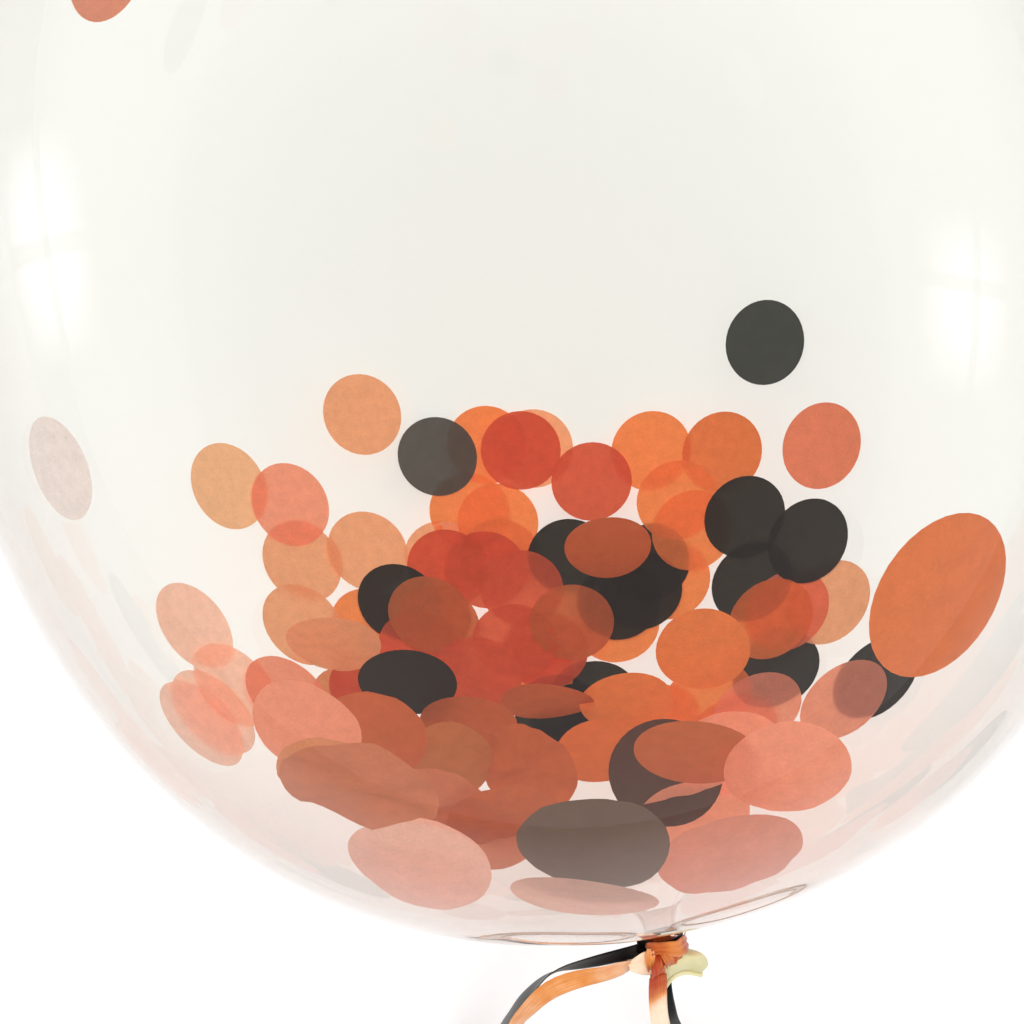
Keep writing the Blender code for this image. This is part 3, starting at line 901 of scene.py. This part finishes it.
def mouth_mesh():
    """The mouth past the tie: film that opens to a rolled rim, flattened, bent to one side and hollow."""
    steps, segments = 36, 64
    neck_depth, rim_depth, dip = 3.0 * MM, 1.5 * MM, 2.7 * MM
    rim_radius, wall, lean = 0.6 * MM, 0.4 * MM, 0.25
    pleat_count, pleat_shift, pleat_height = 9, 0.8, 0.12 * MM
    rolled_over = range(-60, 241, 25)
    inner_rings = range(steps - 3, steps - 16, -2)
    edges = []
    for stops in (MOUTH_LEFT_EDGE, MOUTH_RIGHT_EDGE):
        fine = smooth_route([TIE + Vector(s) * MM for s in stops], 0.02 * MM)
        edges.append([fine[round(i * (len(fine) - 1) / steps)] for i in range(steps + 1)])
    # The outside, the rim as it rolls over, and the inside: ring, distance outwards and distance forwards
    profile = [(i, 0.0, 0.0) for i in range(steps)]
    for turn in rolled_over:
        t = math.radians(turn)
        profile.append((steps, rim_radius * math.cos(t), rim_radius * math.sin(t)))
    profile += [(i, -wall, 0.0) for i in inner_rings]
    work = bmesh.new()
    loops = []
    for i, outwards, forwards in profile:
        left, right = edges[0][i], edges[1][i]
        share = i / steps
        across = (right - left) / 2
        upward = Vector((0, -lean * share, 1)).normalized()
        forward = Vector((across.y, -across.x, 0)).normalized()
        deep = neck_depth + (rim_depth - neck_depth) * eased(share)
        loop = []
        for k in range(segments):
            a = math.tau * k / segments
            normal = (across * (deep * math.cos(a)) + upward * (across.length**2 * math.sin(a))).normalized()
            pleat = pleat_height * (1 - share) * math.sin(pleat_count * a + pleat_shift)
            offset = across * math.cos(a) + upward * (deep * math.sin(a)) + normal * (outwards + pleat)
            offset += forward * (forwards - dip * (share * math.sin(a)) ** 2)
            loop.append(work.verts.new((left + right) / 2 + offset))
        loops.append(loop)
    skin_over(work, loops)
    return finished_mesh(work, "balloon_mouth")


# Tones of ribbon: 0 is its own colour, -1 the deepest painted shade and 1 the palest painted highlight, at
# lengths along it in millimetres
PLAIN_TONE = ((0, 0.0), (1, 0.0))
# Painted shade over the gathered turns round the neck
NECK_TURNS_SHADE_TONE = ((0, -0.7), (1, -0.7))
# Painted highlight at the start of the left end, where it leaves the fold
FOLD_HIGHLIGHT_TONE = ((0, 0.5), (7, 0.1), (12, 0.0), (30, 0.1))
# Painted shade in the knot's hollow, then a painted highlight where the lower end's gloss catches the light
HOLLOW_SHADE_AND_HIGHLIGHT_TONE = ((0, -0.9), (3, -0.8), (6, 0.3), (9, 1.0), (18, 0.9), (30, 0.2))

# Strips of gathered ribbon on the knot, by the part of it that each makes. Each has its stops, the point
# that it faces away from, and its tones, which paint shade in the hollow and under the turn over the knot,
# and a highlight on the fold. A stop is across, along from the tie, up from the floor and the strip's width,
# in millimetres.
BLACK_STRIPS = {
    "start of the left end": (
        ((-5.8, 1.9, 120.6, 4.6), (-4.2, 1.8, 120.5, 4.2), (-2.4, 1.6, 119.8, 3.4)),
        (-4, 3, 110),
        PLAIN_TONE,
    ),
}
ORANGE_STRIPS = {
    "turn over the knot and down on the right of the neck": (
        (
            (-3.8, 2.2, 122.2, 2.8),
            (-3.0, 2.9, 123.8, 2.8),
            (-1.4, 3.1, 124.8, 2.4),
            (0.6, 2.7, 124.7, 2.8),
            (2.6, 1.9, 123.7, 3.4),
            (4.3, 1.7, 121.6, 3.8),
            (5.2, 1.5, 118.8, 3.6),
        ),
        (0, 1.2, 118),
        ((0, -0.9), (2, -0.7), (4, -0.6), (7, -0.3), (9, -0.2), (12, -0.8)),
    ),
    "strip out of the hollow, which the lower end grows from": (
        (
            (-1.6, 2.4, 123.2, 1.2),
            (-1.8, 1.4, 124.1, 1.6),
            (-2.1, 0.0, 124.9, 2.6),
            (-2.5, -1.3, 125.1, 3.8),
            (-2.8, -2.6, 124.7, 4.6),
            (-3.0, -3.6, 124.4, 4.2),
        ),
        (-5.1, -2.1, 121.7),
        ((0, -1.0), (3, -0.8), (6, -0.9)),
    ),
    "left side of the hollow": (
        (
            (-3.0, 3.0, 123.8, 1.8),
            (-3.4, 1.4, 124.5, 2.2),
            (-3.7, -0.4, 124.2, 2.2),
            (-3.7, -2.0, 123.0, 2.0),
        ),
        (-2.5, 0.5, 119.5),
        ((0, 0.3), (3, 0.0), (5, -0.5)),
    ),
    "right side of the hollow": (
        (
            (-0.8, 2.8, 124.0, 1.8),
            (-0.1, 1.2, 124.4, 2.4),
            (0.4, -0.4, 123.9, 2.6),
            (0.3, -1.8, 122.4, 2.2),
        ),
        (-1.6, 0.5, 119.5),
        ((0, -0.7), (2, -0.3), (5, -0.7)),
    ),
    "fold that the left end grows from": (
        (
            (-2.6, 1.0, 122.4, 3.4),
            (-4.0, 0.1, 122.8, 6.0),
            (-5.3, -0.7, 122.5, 6.4),
            (-6.9, -0.9, 121.7, 4.6),
            (-8.4, -0.7, 120.9, 3.2),
        ),
        (-6.3, 2.6, 114.0),
        ((0, -0.2), (2, 0.9), (5, 1.0), (8, 0.6)),
    ),
}


def knot_strip(stops, centre, tones):
    """A short strip of gathered ribbon that faces away from a centre, or else from the balloon's axis."""
    step, cup = 0.3 * MM, 0.15 * MM
    route = smooth_route([Vector(s) * MM for s in stops], step)
    points = [p.to_3d() + Vector((0, TIE.y, 0)) for p in route]
    if centre:
        middle_point = Vector(centre) * MM + Vector((0, TIE.y, 0))
        facings = [p - middle_point for p in points]
    else:
        facings = [Vector((p.x, 0, p.z - AXIS_HEIGHT)) for p in points]
    return ribbon_mesh("strip", points, facings, [p.w for p in route], cup, step, tones)


def round_neck(angles, along, height, width):
    """Stops of a strip round the neck, from its angles in degrees, and the rest at its start and its end.

    The rest is in millimetres: its place along from the tie, its height on the turns and its width.
    """
    stops = []
    for i, angle in enumerate(angles):
        share = i / (len(angles) - 1)
        y, rise, wide = (start + (end - start) * share for start, end in (along, height, width))
        radius = TURNS_RADIUS / MM + rise
        a = math.radians(angle)
        stops.append((radius * math.cos(a), y, AXIS_HEIGHT / MM + radius * math.sin(a), wide))
    return stops


def joined(name, meshes):
    """One mesh of several."""
    work = bmesh.new()
    for mesh in meshes:
        work.from_mesh(mesh)
        bpy.data.meshes.remove(mesh)
    return finished_mesh(work, name)


class BALLOON_OT_stage(bpy.types.Operator):
    """Make the floor, the lights and the camera"""

    bl_idname = "balloon.stage"
    bl_label = "Stage"

    def execute(self, context):
        context.scene.view_settings.view_transform = "Standard"
        self.add_camera(context)
        self.add_floor(context)
        self.add_room(context)
        right = {"around": 100, "above": 22, "distance": 1.2, "size": (0.46, 0.46), "power": 2.2}
        left = {"around": -76, "above": 4, "distance": 1.1, "size": (0.44, 0.46), "power": 2.2}
        overhead = {"around": 0, "above": 88, "distance": 1.8, "size": (1.6, 1.6), "power": 33}
        self.add_light(context, "window right", **right, bars=(0.6, 0.4))
        self.add_light(context, "window left", **left, bars=(0.5, 0.5))
        ceiling = self.add_light(context, "ceiling", **overhead)
        ceiling.visible_glossy = False
        return {"FINISHED"}

    def add_camera(self, context):
        settings = context.scene.balloon_stage
        lens = bpy.data.cameras.new("camera")
        lens.lens = settings.lens
        lens.sensor_width = settings.sensor_width
        lens.clip_start = 0.01
        camera = bpy.data.objects.new("camera", lens)
        camera.location = settings.camera_place
        camera.rotation_euler = (0, 0, settings.camera_roll)
        context.scene.collection.objects.link(camera)
        context.scene.camera = camera

    def add_floor(self, context):
        work = bmesh.new()
        half_side = context.scene.balloon_stage.floor_side / 2
        bmesh.ops.create_grid(work, x_segments=1, y_segments=1, size=half_side)
        made, tree = new_material("pale matte floor")
        place = add_node(tree, "ShaderNodeTexCoord").outputs["Object"]
        cloud = add_node(tree, "ShaderNodeTexNoise", {"Vector": place, "Scale": 3.0, "Detail": 2.0})
        colours = add_node(
            tree,
            "ShaderNodeMix",
            {"Factor": cloud.outputs["Fac"], "A": (*linear("#F7F7F7"), 1), "B": (*linear("#F9F9F9"), 1)},
            data_type="RGBA",
        )
        shader = add_node(
            tree,
            "ShaderNodeBsdfPrincipled",
            {"Base Color": colours.outputs["Result"], "Roughness": 0.9, "Specular IOR Level": 0.1},
        )
        add_node(tree, "ShaderNodeOutputMaterial", {"Surface": shader})
        put_object("floor", finished_mesh(work, "floor"), made, smooth=False)

    def add_room(self, context):
        """A room bright low down and darker overhead, so the film's gloss is stronger towards its rim."""
        world = bpy.data.worlds.new("studio")
        world.use_nodes = True
        tree = world.node_tree
        way = add_node(tree, "ShaderNodeTexCoord").outputs["Generated"]
        height = add_node(tree, "ShaderNodeSeparateXYZ", {"Vector": way})
        room = add_node(
            tree,
            "ShaderNodeMapRange",
            {"Value": height.outputs["Z"], "From Min": 0.0, "From Max": 0.8, "To Min": 0.75, "To Max": 0.5},
            interpolation_type="SMOOTHSTEP",
        )
        tree.links.new(room.outputs["Result"], tree.nodes["Background"].inputs["Strength"])
        tree.nodes["Background"].inputs["Color"].default_value = (1, 1, 1, 1)
        context.scene.world = world

    def add_light(self, context, name, around, above, distance, size, power, bars=None):
        """A soft box: its direction from the balloon in degrees from +Y and above the floor, and its size.

        With bars it is a soft-edged window with one bar up it and one across, each at its share of the side.
        """
        a, b = math.radians(around), math.radians(above)
        way = Vector((math.sin(a) * math.cos(b), math.cos(a) * math.cos(b), math.sin(b)))
        light = bpy.data.lights.new(name, "AREA")
        light.shape = "RECTANGLE"
        light.size, light.size_y = size
        light.energy = power
        lamp = bpy.data.objects.new(name, light)
        lamp.location = Vector((0, 0, AXIS_HEIGHT)) + way * distance
        lamp.rotation_euler = way.to_track_quat("Z", "Y").to_euler()
        lamp.visible_camera = False
        # The film casts no shadow, so light that passes it is counted already
        lamp.visible_transmission = False
        context.scene.collection.objects.link(lamp)
        if bars:
            self.add_panes(light, bars)
        return lamp

    def add_panes(self, light, bars):
        """Fade a light from its middle towards its edges and darken its bars."""
        fade, bar_width, bar_strength = 0.48, 0.05, 0.35
        light.use_nodes = True
        tree = light.node_tree
        place = add_node(tree, "ShaderNodeNewGeometry").outputs["Parametric"]
        sides = add_node(tree, "ShaderNodeSeparateXYZ", {"Vector": place}).outputs
        strength = None
        for side, bar in zip((sides["X"], sides["Y"]), bars):
            # The light's own edges, where it goes dark, then the bar's
            edges = {"From Min": 0.5, "From Max": 0.5 - fade, "To Min": 0.0}
            bar_edges = {"From Min": bar_width / 2, "From Max": bar_width, "To Min": bar_strength}
            for line, limits in ((0.5, edges), (bar, bar_edges)):
                away = add_node(tree, "ShaderNodeMath", {0: side, 1: line}, operation="SUBTRACT")
                away = add_node(tree, "ShaderNodeMath", {0: away}, operation="ABSOLUTE")
                shown = add_node(
                    tree, "ShaderNodeMapRange", {"Value": away, **limits}, interpolation_type="SMOOTHSTEP"
                )
                if strength:
                    shown = add_node(tree, "ShaderNodeMath", {0: strength, 1: shown}, operation="MULTIPLY")
                strength = shown
        tree.links.new(strength.outputs[0], tree.nodes["Emission"].inputs["Strength"])


class BALLOON_OT_ribbons(bpy.types.Operator):
    """Make the four free ends of ribbon with their coils"""

    bl_idname = "balloon.ribbons"
    bl_label = "Ribbon ends"

    def execute(self, context):
        for name, route, coil, level, shade, tones in (
            ("black_ribbon_left", BLACK_LEFT_ROUTE, "black_coil_left", 0.0, "black", PLAIN_TONE),
            ("orange_ribbon_left", ORANGE_LEFT_ROUTE, "orange_coil_left", TOP_LEVEL, "orange", FOLD_HIGHLIGHT_TONE),
            ("black_ribbon_down", BLACK_DOWN_ROUTE, "black_coil_right", 0.0, "black", PLAIN_TONE),
            ("orange_ribbon_down", ORANGE_DOWN_ROUTE, "orange_coil_right", TOP_LEVEL, "orange", HOLLOW_SHADE_AND_HIGHLIGHT_TONE),
        ):
            free_end(name, route, coil, level, shade, tones)
        return {"FINISHED"}


class BALLOON_OT_skin(bpy.types.Operator):
    """Make the clear film of the balloon, and its mouth past the tie"""

    bl_idname = "balloon.skin"
    bl_label = "Film and mouth"

    def execute(self, context):
        inputs = {
            "Segments": 192,
            "Axis Height": AXIS_HEIGHT,
            "Pleats From": -0.095,
            "Pleats To": TIE.y,
            "Pleat Height": 0.6 * MM,
            "Floor Gap": 0.2 * MM,
            "Film": shared_material("clear stretched film", stretched_film),
        }
        film = put_object("balloon_film", made_by_nodes("film outline", outline_mesh(), film_tree(), inputs))
        film.visible_shadow = False
        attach(film, "root")
        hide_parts("balloon")
        mouth = put_object("balloon_mouth", mouth_mesh(), shared_material("unstretched latex", mouth_latex))
        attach(mouth, "root")
        return {"FINISHED"}


class BALLOON_OT_knots(bpy.types.Operator):
    """Make the turns of both ribbons round the neck, and the knot on them"""

    bl_idname = "balloon.knots"
    bl_label = "Knots"

    def execute(self, context):
        black_turns = round_neck(
            range(-270, 181, 15), along=(2.4, 2.8), height=(-0.5, -0.3), width=(1.6, 1.9)
        )
        orange_turns = round_neck(
            range(-300, 301, 15), along=(-0.7, 0.6), height=(-0.6, -0.3), width=(2.8, 3.0)
        )
        for shade, strips in (
            ("black", ((black_turns, None, PLAIN_TONE), *BLACK_STRIPS.values())),
            ("orange", ((orange_turns, None, NECK_TURNS_SHADE_TONE), *ORANGE_STRIPS.values())),
        ):
            name = f"{shade}_turns"
            knot = put_object(name, joined(name, [knot_strip(*s) for s in strips]), ribbon_surface(shade))
            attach(knot, "root")
            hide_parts(f"{shade}_ribbon_knot")
        return {"FINISHED"}


def disc_mesh(rings=4, segments=36):
    """A flat round disc of diameter 1, with rings of points so that it can bend."""
    work = bmesh.new()
    centre = work.verts.new((0, 0, 0))
    loops = []
    for i in range(1, rings + 1):
        radius = 0.5 * i / rings
        angles = [math.tau * k / segments for k in range(segments)]
        loops.append([work.verts.new((radius * math.cos(a), radius * math.sin(a), 0)) for a in angles])
    for k in range(segments):
        j = (k + 1) % segments
        work.faces.new((centre, loops[0][k], loops[0][j]))
        for first, second in zip(loops, loops[1:]):
            work.faces.new((first[k], second[k], second[j], first[j]))
    return finished_mesh(work, "disc")


def wall_place(along_mm, around):
    """The point of the film at a place along the balloon's axis and round it, and the way out of it."""
    skin = bpy.context.scene.balloon_skin
    y = along_mm * MM
    length = TOP_LENGTH if y > 0 else skin.neck_side_length
    power = skin.roundness
    radius = body_radius() * (1 - (abs(y) / length) ** power) ** (1 / power)
    a = math.radians(around)
    outward = Vector((math.cos(a), 0, math.sin(a)))
    slope = Vector((0, math.copysign((abs(y) / length) ** (power - 1) / length, y), 0))
    normal = (outward * (radius / body_radius()) ** (power - 1) / body_radius() + slope).normalized()
    return Vector((0, y, AXIS_HEIGHT)) + outward * radius, normal


DARK_SHADES = ("smoke", "charcoal", "soft black", "warm black", "black")
# How many of the discs that overlap one have their outlines painted on it as shade, and how close behind it
# they lie
OVERLAPS = 8
OVERLAP_GAP = 1.6 * MM
# Painted shade: how much darker a disc is painted where a black or a paper sheet lies right behind it and
# holds back light
SHADE_FROM_BLACK_BEHIND = (0.86, 0.78, 0.82)
SHADE_FROM_PAPER_BEHIND = (0.98, 0.93, 0.89)

Sheet = namedtuple("Sheet", "shade place facing lift cling curl crumple")


def all_sheets():
    """Every disc, with its middle, the way it looks and how it lies."""
    # A step of lift from each disc to the next, in millimetres, keeps those on the film apart
    lift_step, curl_on_film = 0.01, 0.1 * MM
    curl = bpy.context.scene.balloon_paper.curl
    sheets = []
    for i, (shade, along, around, lift) in enumerate(DISCS_ON_FILM):
        place, outward = wall_place(along, around)
        own_lift = (lift + lift_step * i) * MM
        sheets.append(Sheet(shade, place - outward * own_lift, outward, own_lift, 1.0, curl_on_film, 0.0))
    for shade, x, y, z, way, lean, crumple in DISCS_IN_HEAP:
        a, b = math.radians(way), math.radians(lean)
        facing = Vector((math.sin(b) * math.cos(a), math.sin(b) * math.sin(a), math.cos(b)))
        sheets.append(Sheet(shade, Vector((x, y, z)) * MM, facing, 0.0, 0.0, curl, crumple * MM))
    return sheets


def touching(sheets, here):
    """The nearest of the discs that lie against a disc on the film."""
    diameter = bpy.context.scene.balloon_paper.diameter
    found = []
    for other in sheets:
        apart = (other.place - here.place).length
        if other is not here and here.cling and other.cling and apart < diameter:
            if abs(other.lift - here.lift) < OVERLAP_GAP:
                found.append((apart, other))
    return [other for _, other in sorted(found, key=lambda pair: pair[0])[:OVERLAPS]]


def disc_points():
    """A mesh of one point for each disc, with what the nodes and the paper need to know of it."""
    sheets = all_sheets()
    mesh = bpy.data.meshes.new("disc points")
    mesh.from_pydata([sheet.place for sheet in sheets], [], [])
    numbers = ("lift", "cling", "curl", "crumple")
    kinds = {"facing": "FLOAT_VECTOR", **dict.fromkeys(numbers, "FLOAT"), "paper": "FLOAT_COLOR"}
    for k in range(OVERLAPS):
        kinds.update({f"other {k}": "FLOAT_VECTOR", f"tint {k}": "FLOAT_COLOR"})
    for name, kind in kinds.items():
        mesh.attributes.new(name, kind, "POINT")
    nowhere = Vector((0, 0, -1))
    given = mesh.attributes
    for i, sheet in enumerate(sheets):
        given["facing"].data[i].vector = sheet.facing
        for name in numbers:
            given[name].data[i].value = getattr(sheet, name)
        given["paper"].data[i].color = (*linear(PAPER_SHADES[sheet.shade]), 1)
        near = touching(sheets, sheet)
        # The outlines of the discs that lie against this one, to be painted on it as shade
        for k in range(OVERLAPS):
            other = near[k] if k < len(near) else None
            dark = other is not None and other.shade in DARK_SHADES
            given[f"other {k}"].data[i].vector = other.place if other else nowhere
            given[f"tint {k}"].data[i].color = (*(SHADE_FROM_BLACK_BEHIND if dark else SHADE_FROM_PAPER_BEHIND), 1)
    return mesh


def disc_tree():
    """Geometry nodes that lay a disc at each point: bent to the film, or curled and crumpled in the heap."""
    tree, given = new_tree(
        "paper discs",
        {
            "Disc": "Object",
            "Film": "Object",
            "Diameter": "Float",
            "Crease Size": "Float",
            "Seed": "Int",
            "Paper": "Material",
        },
    )
    place = add_node(tree, "GeometryNodeInputPosition")
    normal = add_node(tree, "GeometryNodeInputNormal")
    lift, cling, curl, crumple = (
        add_node(tree, "GeometryNodeInputNamedAttribute", {"Name": name}, data_type="FLOAT")
        for name in ("lift", "cling", "curl", "crumple")
    )
    facing, middle_point, curl_way = (
        add_node(tree, "GeometryNodeInputNamedAttribute", {"Name": name}, data_type="FLOAT_VECTOR")
        for name in ("facing", "middle", "curl way")
    )

    # Each disc keeps its own middle and the way that it curls
    roll = add_node(
        tree,
        "FunctionNodeRandomValue",
        {"Min": (-1, -1, -1), "Max": (1, 1, 1), "Seed": given["Seed"]},
        data_type="FLOAT_VECTOR",
    )
    way = add_node(tree, "ShaderNodeVectorMath", {0: roll}, operation="NORMALIZE")
    marked = given["Geometry"]
    for name, value in (("middle", place), ("curl way", way)):
        marked = add_node(
            tree,
            "GeometryNodeStoreNamedAttribute",
            {"Geometry": marked, "Name": name, "Value": value},
            data_type="FLOAT_VECTOR",
        )
    disc_shape = add_node(tree, "GeometryNodeObjectInfo", {"Object": given["Disc"]}).outputs["Geometry"]
    turned = add_node(tree, "FunctionNodeAlignRotationToVector", {"Vector": facing}, axis="Z")
    laid = add_node(
        tree,
        "GeometryNodeInstanceOnPoints",
        {"Points": marked, "Instance": disc_shape, "Rotation": turned, "Scale": given["Diameter"]},
    )
    real = add_node(tree, "GeometryNodeRealizeInstances", {"Geometry": laid})

    # How far a point stands off its flat disc
    from_middle = add_node(tree, "ShaderNodeVectorMath", {0: place, 1: middle_point}, operation="SUBTRACT")
    reach = add_node(tree, "ShaderNodeVectorMath", {0: from_middle, 1: curl_way}, operation="DOT_PRODUCT")
    sideways = {0: reach.outputs["Value"], 1: given["Diameter"]}
    share = add_node(tree, "ShaderNodeMath", sideways, operation="DIVIDE")
    double = add_node(tree, "ShaderNodeMath", {0: share, 1: 2.0}, operation="MULTIPLY")
    squared = add_node(tree, "ShaderNodeMath", {0: double, 1: double}, operation="MULTIPLY")
    curled = add_node(tree, "ShaderNodeMath", {0: squared, 1: curl}, operation="MULTIPLY")
    crease_scale = add_node(tree, "ShaderNodeMath", {0: 1.0, 1: given["Crease Size"]}, operation="DIVIDE")
    creases = add_node(tree, "ShaderNodeTexNoise", {"Vector": place, "Scale": crease_scale, "Detail": 1.0})
    fold = add_node(
        tree,
        "ShaderNodeMapRange",
        {"Value": creases, "From Min": 0.25, "From Max": 0.75, "To Min": -1.0, "To Max": 1.0},
        clamp=False,
    )
    folded = add_node(tree, "ShaderNodeMath", {0: fold, 1: crumple}, operation="MULTIPLY")
    stands_off = add_node(tree, "ShaderNodeMath", {0: curled, 1: folded}, operation="ADD")
    bend = add_node(tree, "ShaderNodeVectorMath", {0: facing, "Scale": stands_off}, operation="SCALE")
    in_heap = add_node(tree, "ShaderNodeVectorMath", {0: place, 1: bend}, operation="SUBTRACT")

    # The same point on the film, lifted off it by the discs that lie under it
    film_shape = add_node(tree, "GeometryNodeObjectInfo", {"Object": given["Film"]}).outputs["Geometry"]
    film_place, film_normal = (
        add_node(
            tree,
            "GeometryNodeSampleNearestSurface",
            {"Mesh": film_shape, "Value": value, "Sample Position": place},
            data_type="FLOAT_VECTOR",
        )
        for value in (place, normal)
    )
    depth = add_node(tree, "ShaderNodeMath", {0: lift, 1: curled}, operation="ADD")
    inwards = add_node(tree, "ShaderNodeVectorMath", {0: film_normal, "Scale": depth}, operation="SCALE")
    on_film = add_node(tree, "ShaderNodeVectorMath", {0: film_place, 1: inwards}, operation="SUBTRACT")
    choice = {"Factor": cling, "A": in_heap, "B": on_film}
    settled = add_node(tree, "ShaderNodeMix", choice, data_type="VECTOR").outputs["Result"]
    bent = add_node(tree, "GeometryNodeSetPosition", {"Geometry": real, "Position": settled})
    end_tree(tree, bent, given["Paper"])
    return tree


def tissue_paper(name):
    """Tissue paper: thin, matt and cloudy with short fibres, and the light from behind comes through it.

    Where another disc lies against a disc, its outline is painted on it as shade, for the light that it
    holds back.
    """
    made, tree = new_material(name)
    settings = bpy.context.scene.balloon_paper
    radius, soft_edge = settings.diameter / 2, 0.3 * MM
    # A noise's marks are about 0.7 of a unit apart
    mark = 0.7
    place = add_node(tree, "ShaderNodeTexCoord").outputs["Object"]
    colour = add_node(tree, "ShaderNodeAttribute", attribute_name="paper").outputs["Color"]
    cloud = add_node(
        tree, "ShaderNodeTexNoise", {"Vector": place, "Scale": mark / settings.cloud_size, "Detail": 3.0}
    )
    fibres = add_node(
        tree,
        "ShaderNodeTexNoise",
        {"Vector": place, "Scale": mark / settings.fibre_size, "Detail": 4.0, "Roughness": 0.7},
    )
    for pattern, swing in ((cloud, 0.08), (fibres, 0.12)):
        limits = {"From Min": 0.2, "From Max": 0.8, "To Min": 1 - swing, "To Max": 1 + swing}
        depth = add_node(tree, "ShaderNodeMapRange", {"Value": pattern, **limits})
        colour = add_node(
            tree,
            "ShaderNodeMix",
            {"Factor": 1.0, "A": colour, "B": depth},
            data_type="RGBA",
            blend_type="MULTIPLY",
        ).outputs["Result"]
    # Painted shade: each disc that lies against this one darkens it inside its outline
    for k in range(OVERLAPS):
        other = add_node(tree, "ShaderNodeAttribute", attribute_name=f"other {k}").outputs["Vector"]
        shade_behind = add_node(tree, "ShaderNodeAttribute", attribute_name=f"tint {k}").outputs["Color"]
        apart = add_node(tree, "ShaderNodeVectorMath", {0: place, 1: other}, operation="DISTANCE")
        limits = {"From Min": radius + soft_edge, "From Max": radius - soft_edge}
        covered = add_node(tree, "ShaderNodeMapRange", {"Value": apart.outputs["Value"], **limits})
        colour = add_node(
            tree,
            "ShaderNodeMix",
            {"Factor": covered, "A": colour, "B": shade_behind},
            data_type="RGBA",
            blend_type="MULTIPLY",
        ).outputs["Result"]
    face = add_node(
        tree,
        "ShaderNodeBsdfPrincipled",
        {"Base Color": colour, "Roughness": 0.85, "IOR": 1.4, "Specular IOR Level": 0.2},
    )
    through = add_node(tree, "ShaderNodeBsdfTranslucent", {"Color": colour})
    share_through = 0.47
    both = add_node(tree, "ShaderNodeMixShader", {0: share_through, 1: face, 2: through})
    add_node(tree, "ShaderNodeOutputMaterial", {"Surface": both})
    return made


class BALLOON_OT_confetti(bpy.types.Operator):
    """Lay the paper discs on the inside of the film"""

    bl_idname = "balloon.confetti"
    bl_label = "Paper discs"

    def execute(self, context):
        disc = put_object("disc pattern", disc_mesh())
        inputs = {
            "Disc": disc,
            "Film": bpy.data.objects["balloon_film"],
            "Diameter": context.scene.balloon_paper.diameter,
            "Crease Size": 7 * MM,
            "Seed": 4,
            "Paper": shared_material("tissue paper", tissue_paper),
        }
        mesh = made_by_nodes("disc points", disc_points(), disc_tree(), inputs)
        bpy.data.objects.remove(disc)
        discs = put_object("paper_discs", mesh)
        # Soft light comes through the thin paper, which leaves the floor between the discs bright
        discs.visible_shadow = False
        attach(discs, "root")
        return {"FINISHED"}


class BALLOON_PT_panel(bpy.types.Panel):
    """Lists the steps that make the balloon"""

    bl_idname = "BALLOON_PT_panel"
    bl_label = "Confetti balloon"
    bl_space_type = "VIEW_3D"
    bl_region_type = "UI"
    bl_category = "Balloon"

    def draw(self, context):
        for step in STEPS:
            self.layout.operator(step.bl_idname)


STEPS = (BALLOON_OT_stage, BALLOON_OT_ribbons, BALLOON_OT_skin, BALLOON_OT_knots, BALLOON_OT_confetti)


def register():
    for group in GROUPS.values():
        bpy.utils.register_class(group)
    for name, group in GROUPS.items():
        setattr(bpy.types.Scene, name, bpy.props.PointerProperty(type=group))
    for step in (*STEPS, BALLOON_PT_panel):
        bpy.utils.register_class(step)


def unregister():
    for step in reversed((*STEPS, BALLOON_PT_panel)):
        bpy.utils.unregister_class(step)
    for name in GROUPS:
        delattr(bpy.types.Scene, name)
    for group in reversed(GROUPS.values()):
        bpy.utils.unregister_class(group)


def main():
    register()
    bpy.ops.balloon.stage()
    bpy.ops.balloon.ribbons()
    bpy.ops.balloon.skin()
    bpy.ops.balloon.knots()
    bpy.ops.balloon.confetti()


if __name__ == "__main__":
    main()
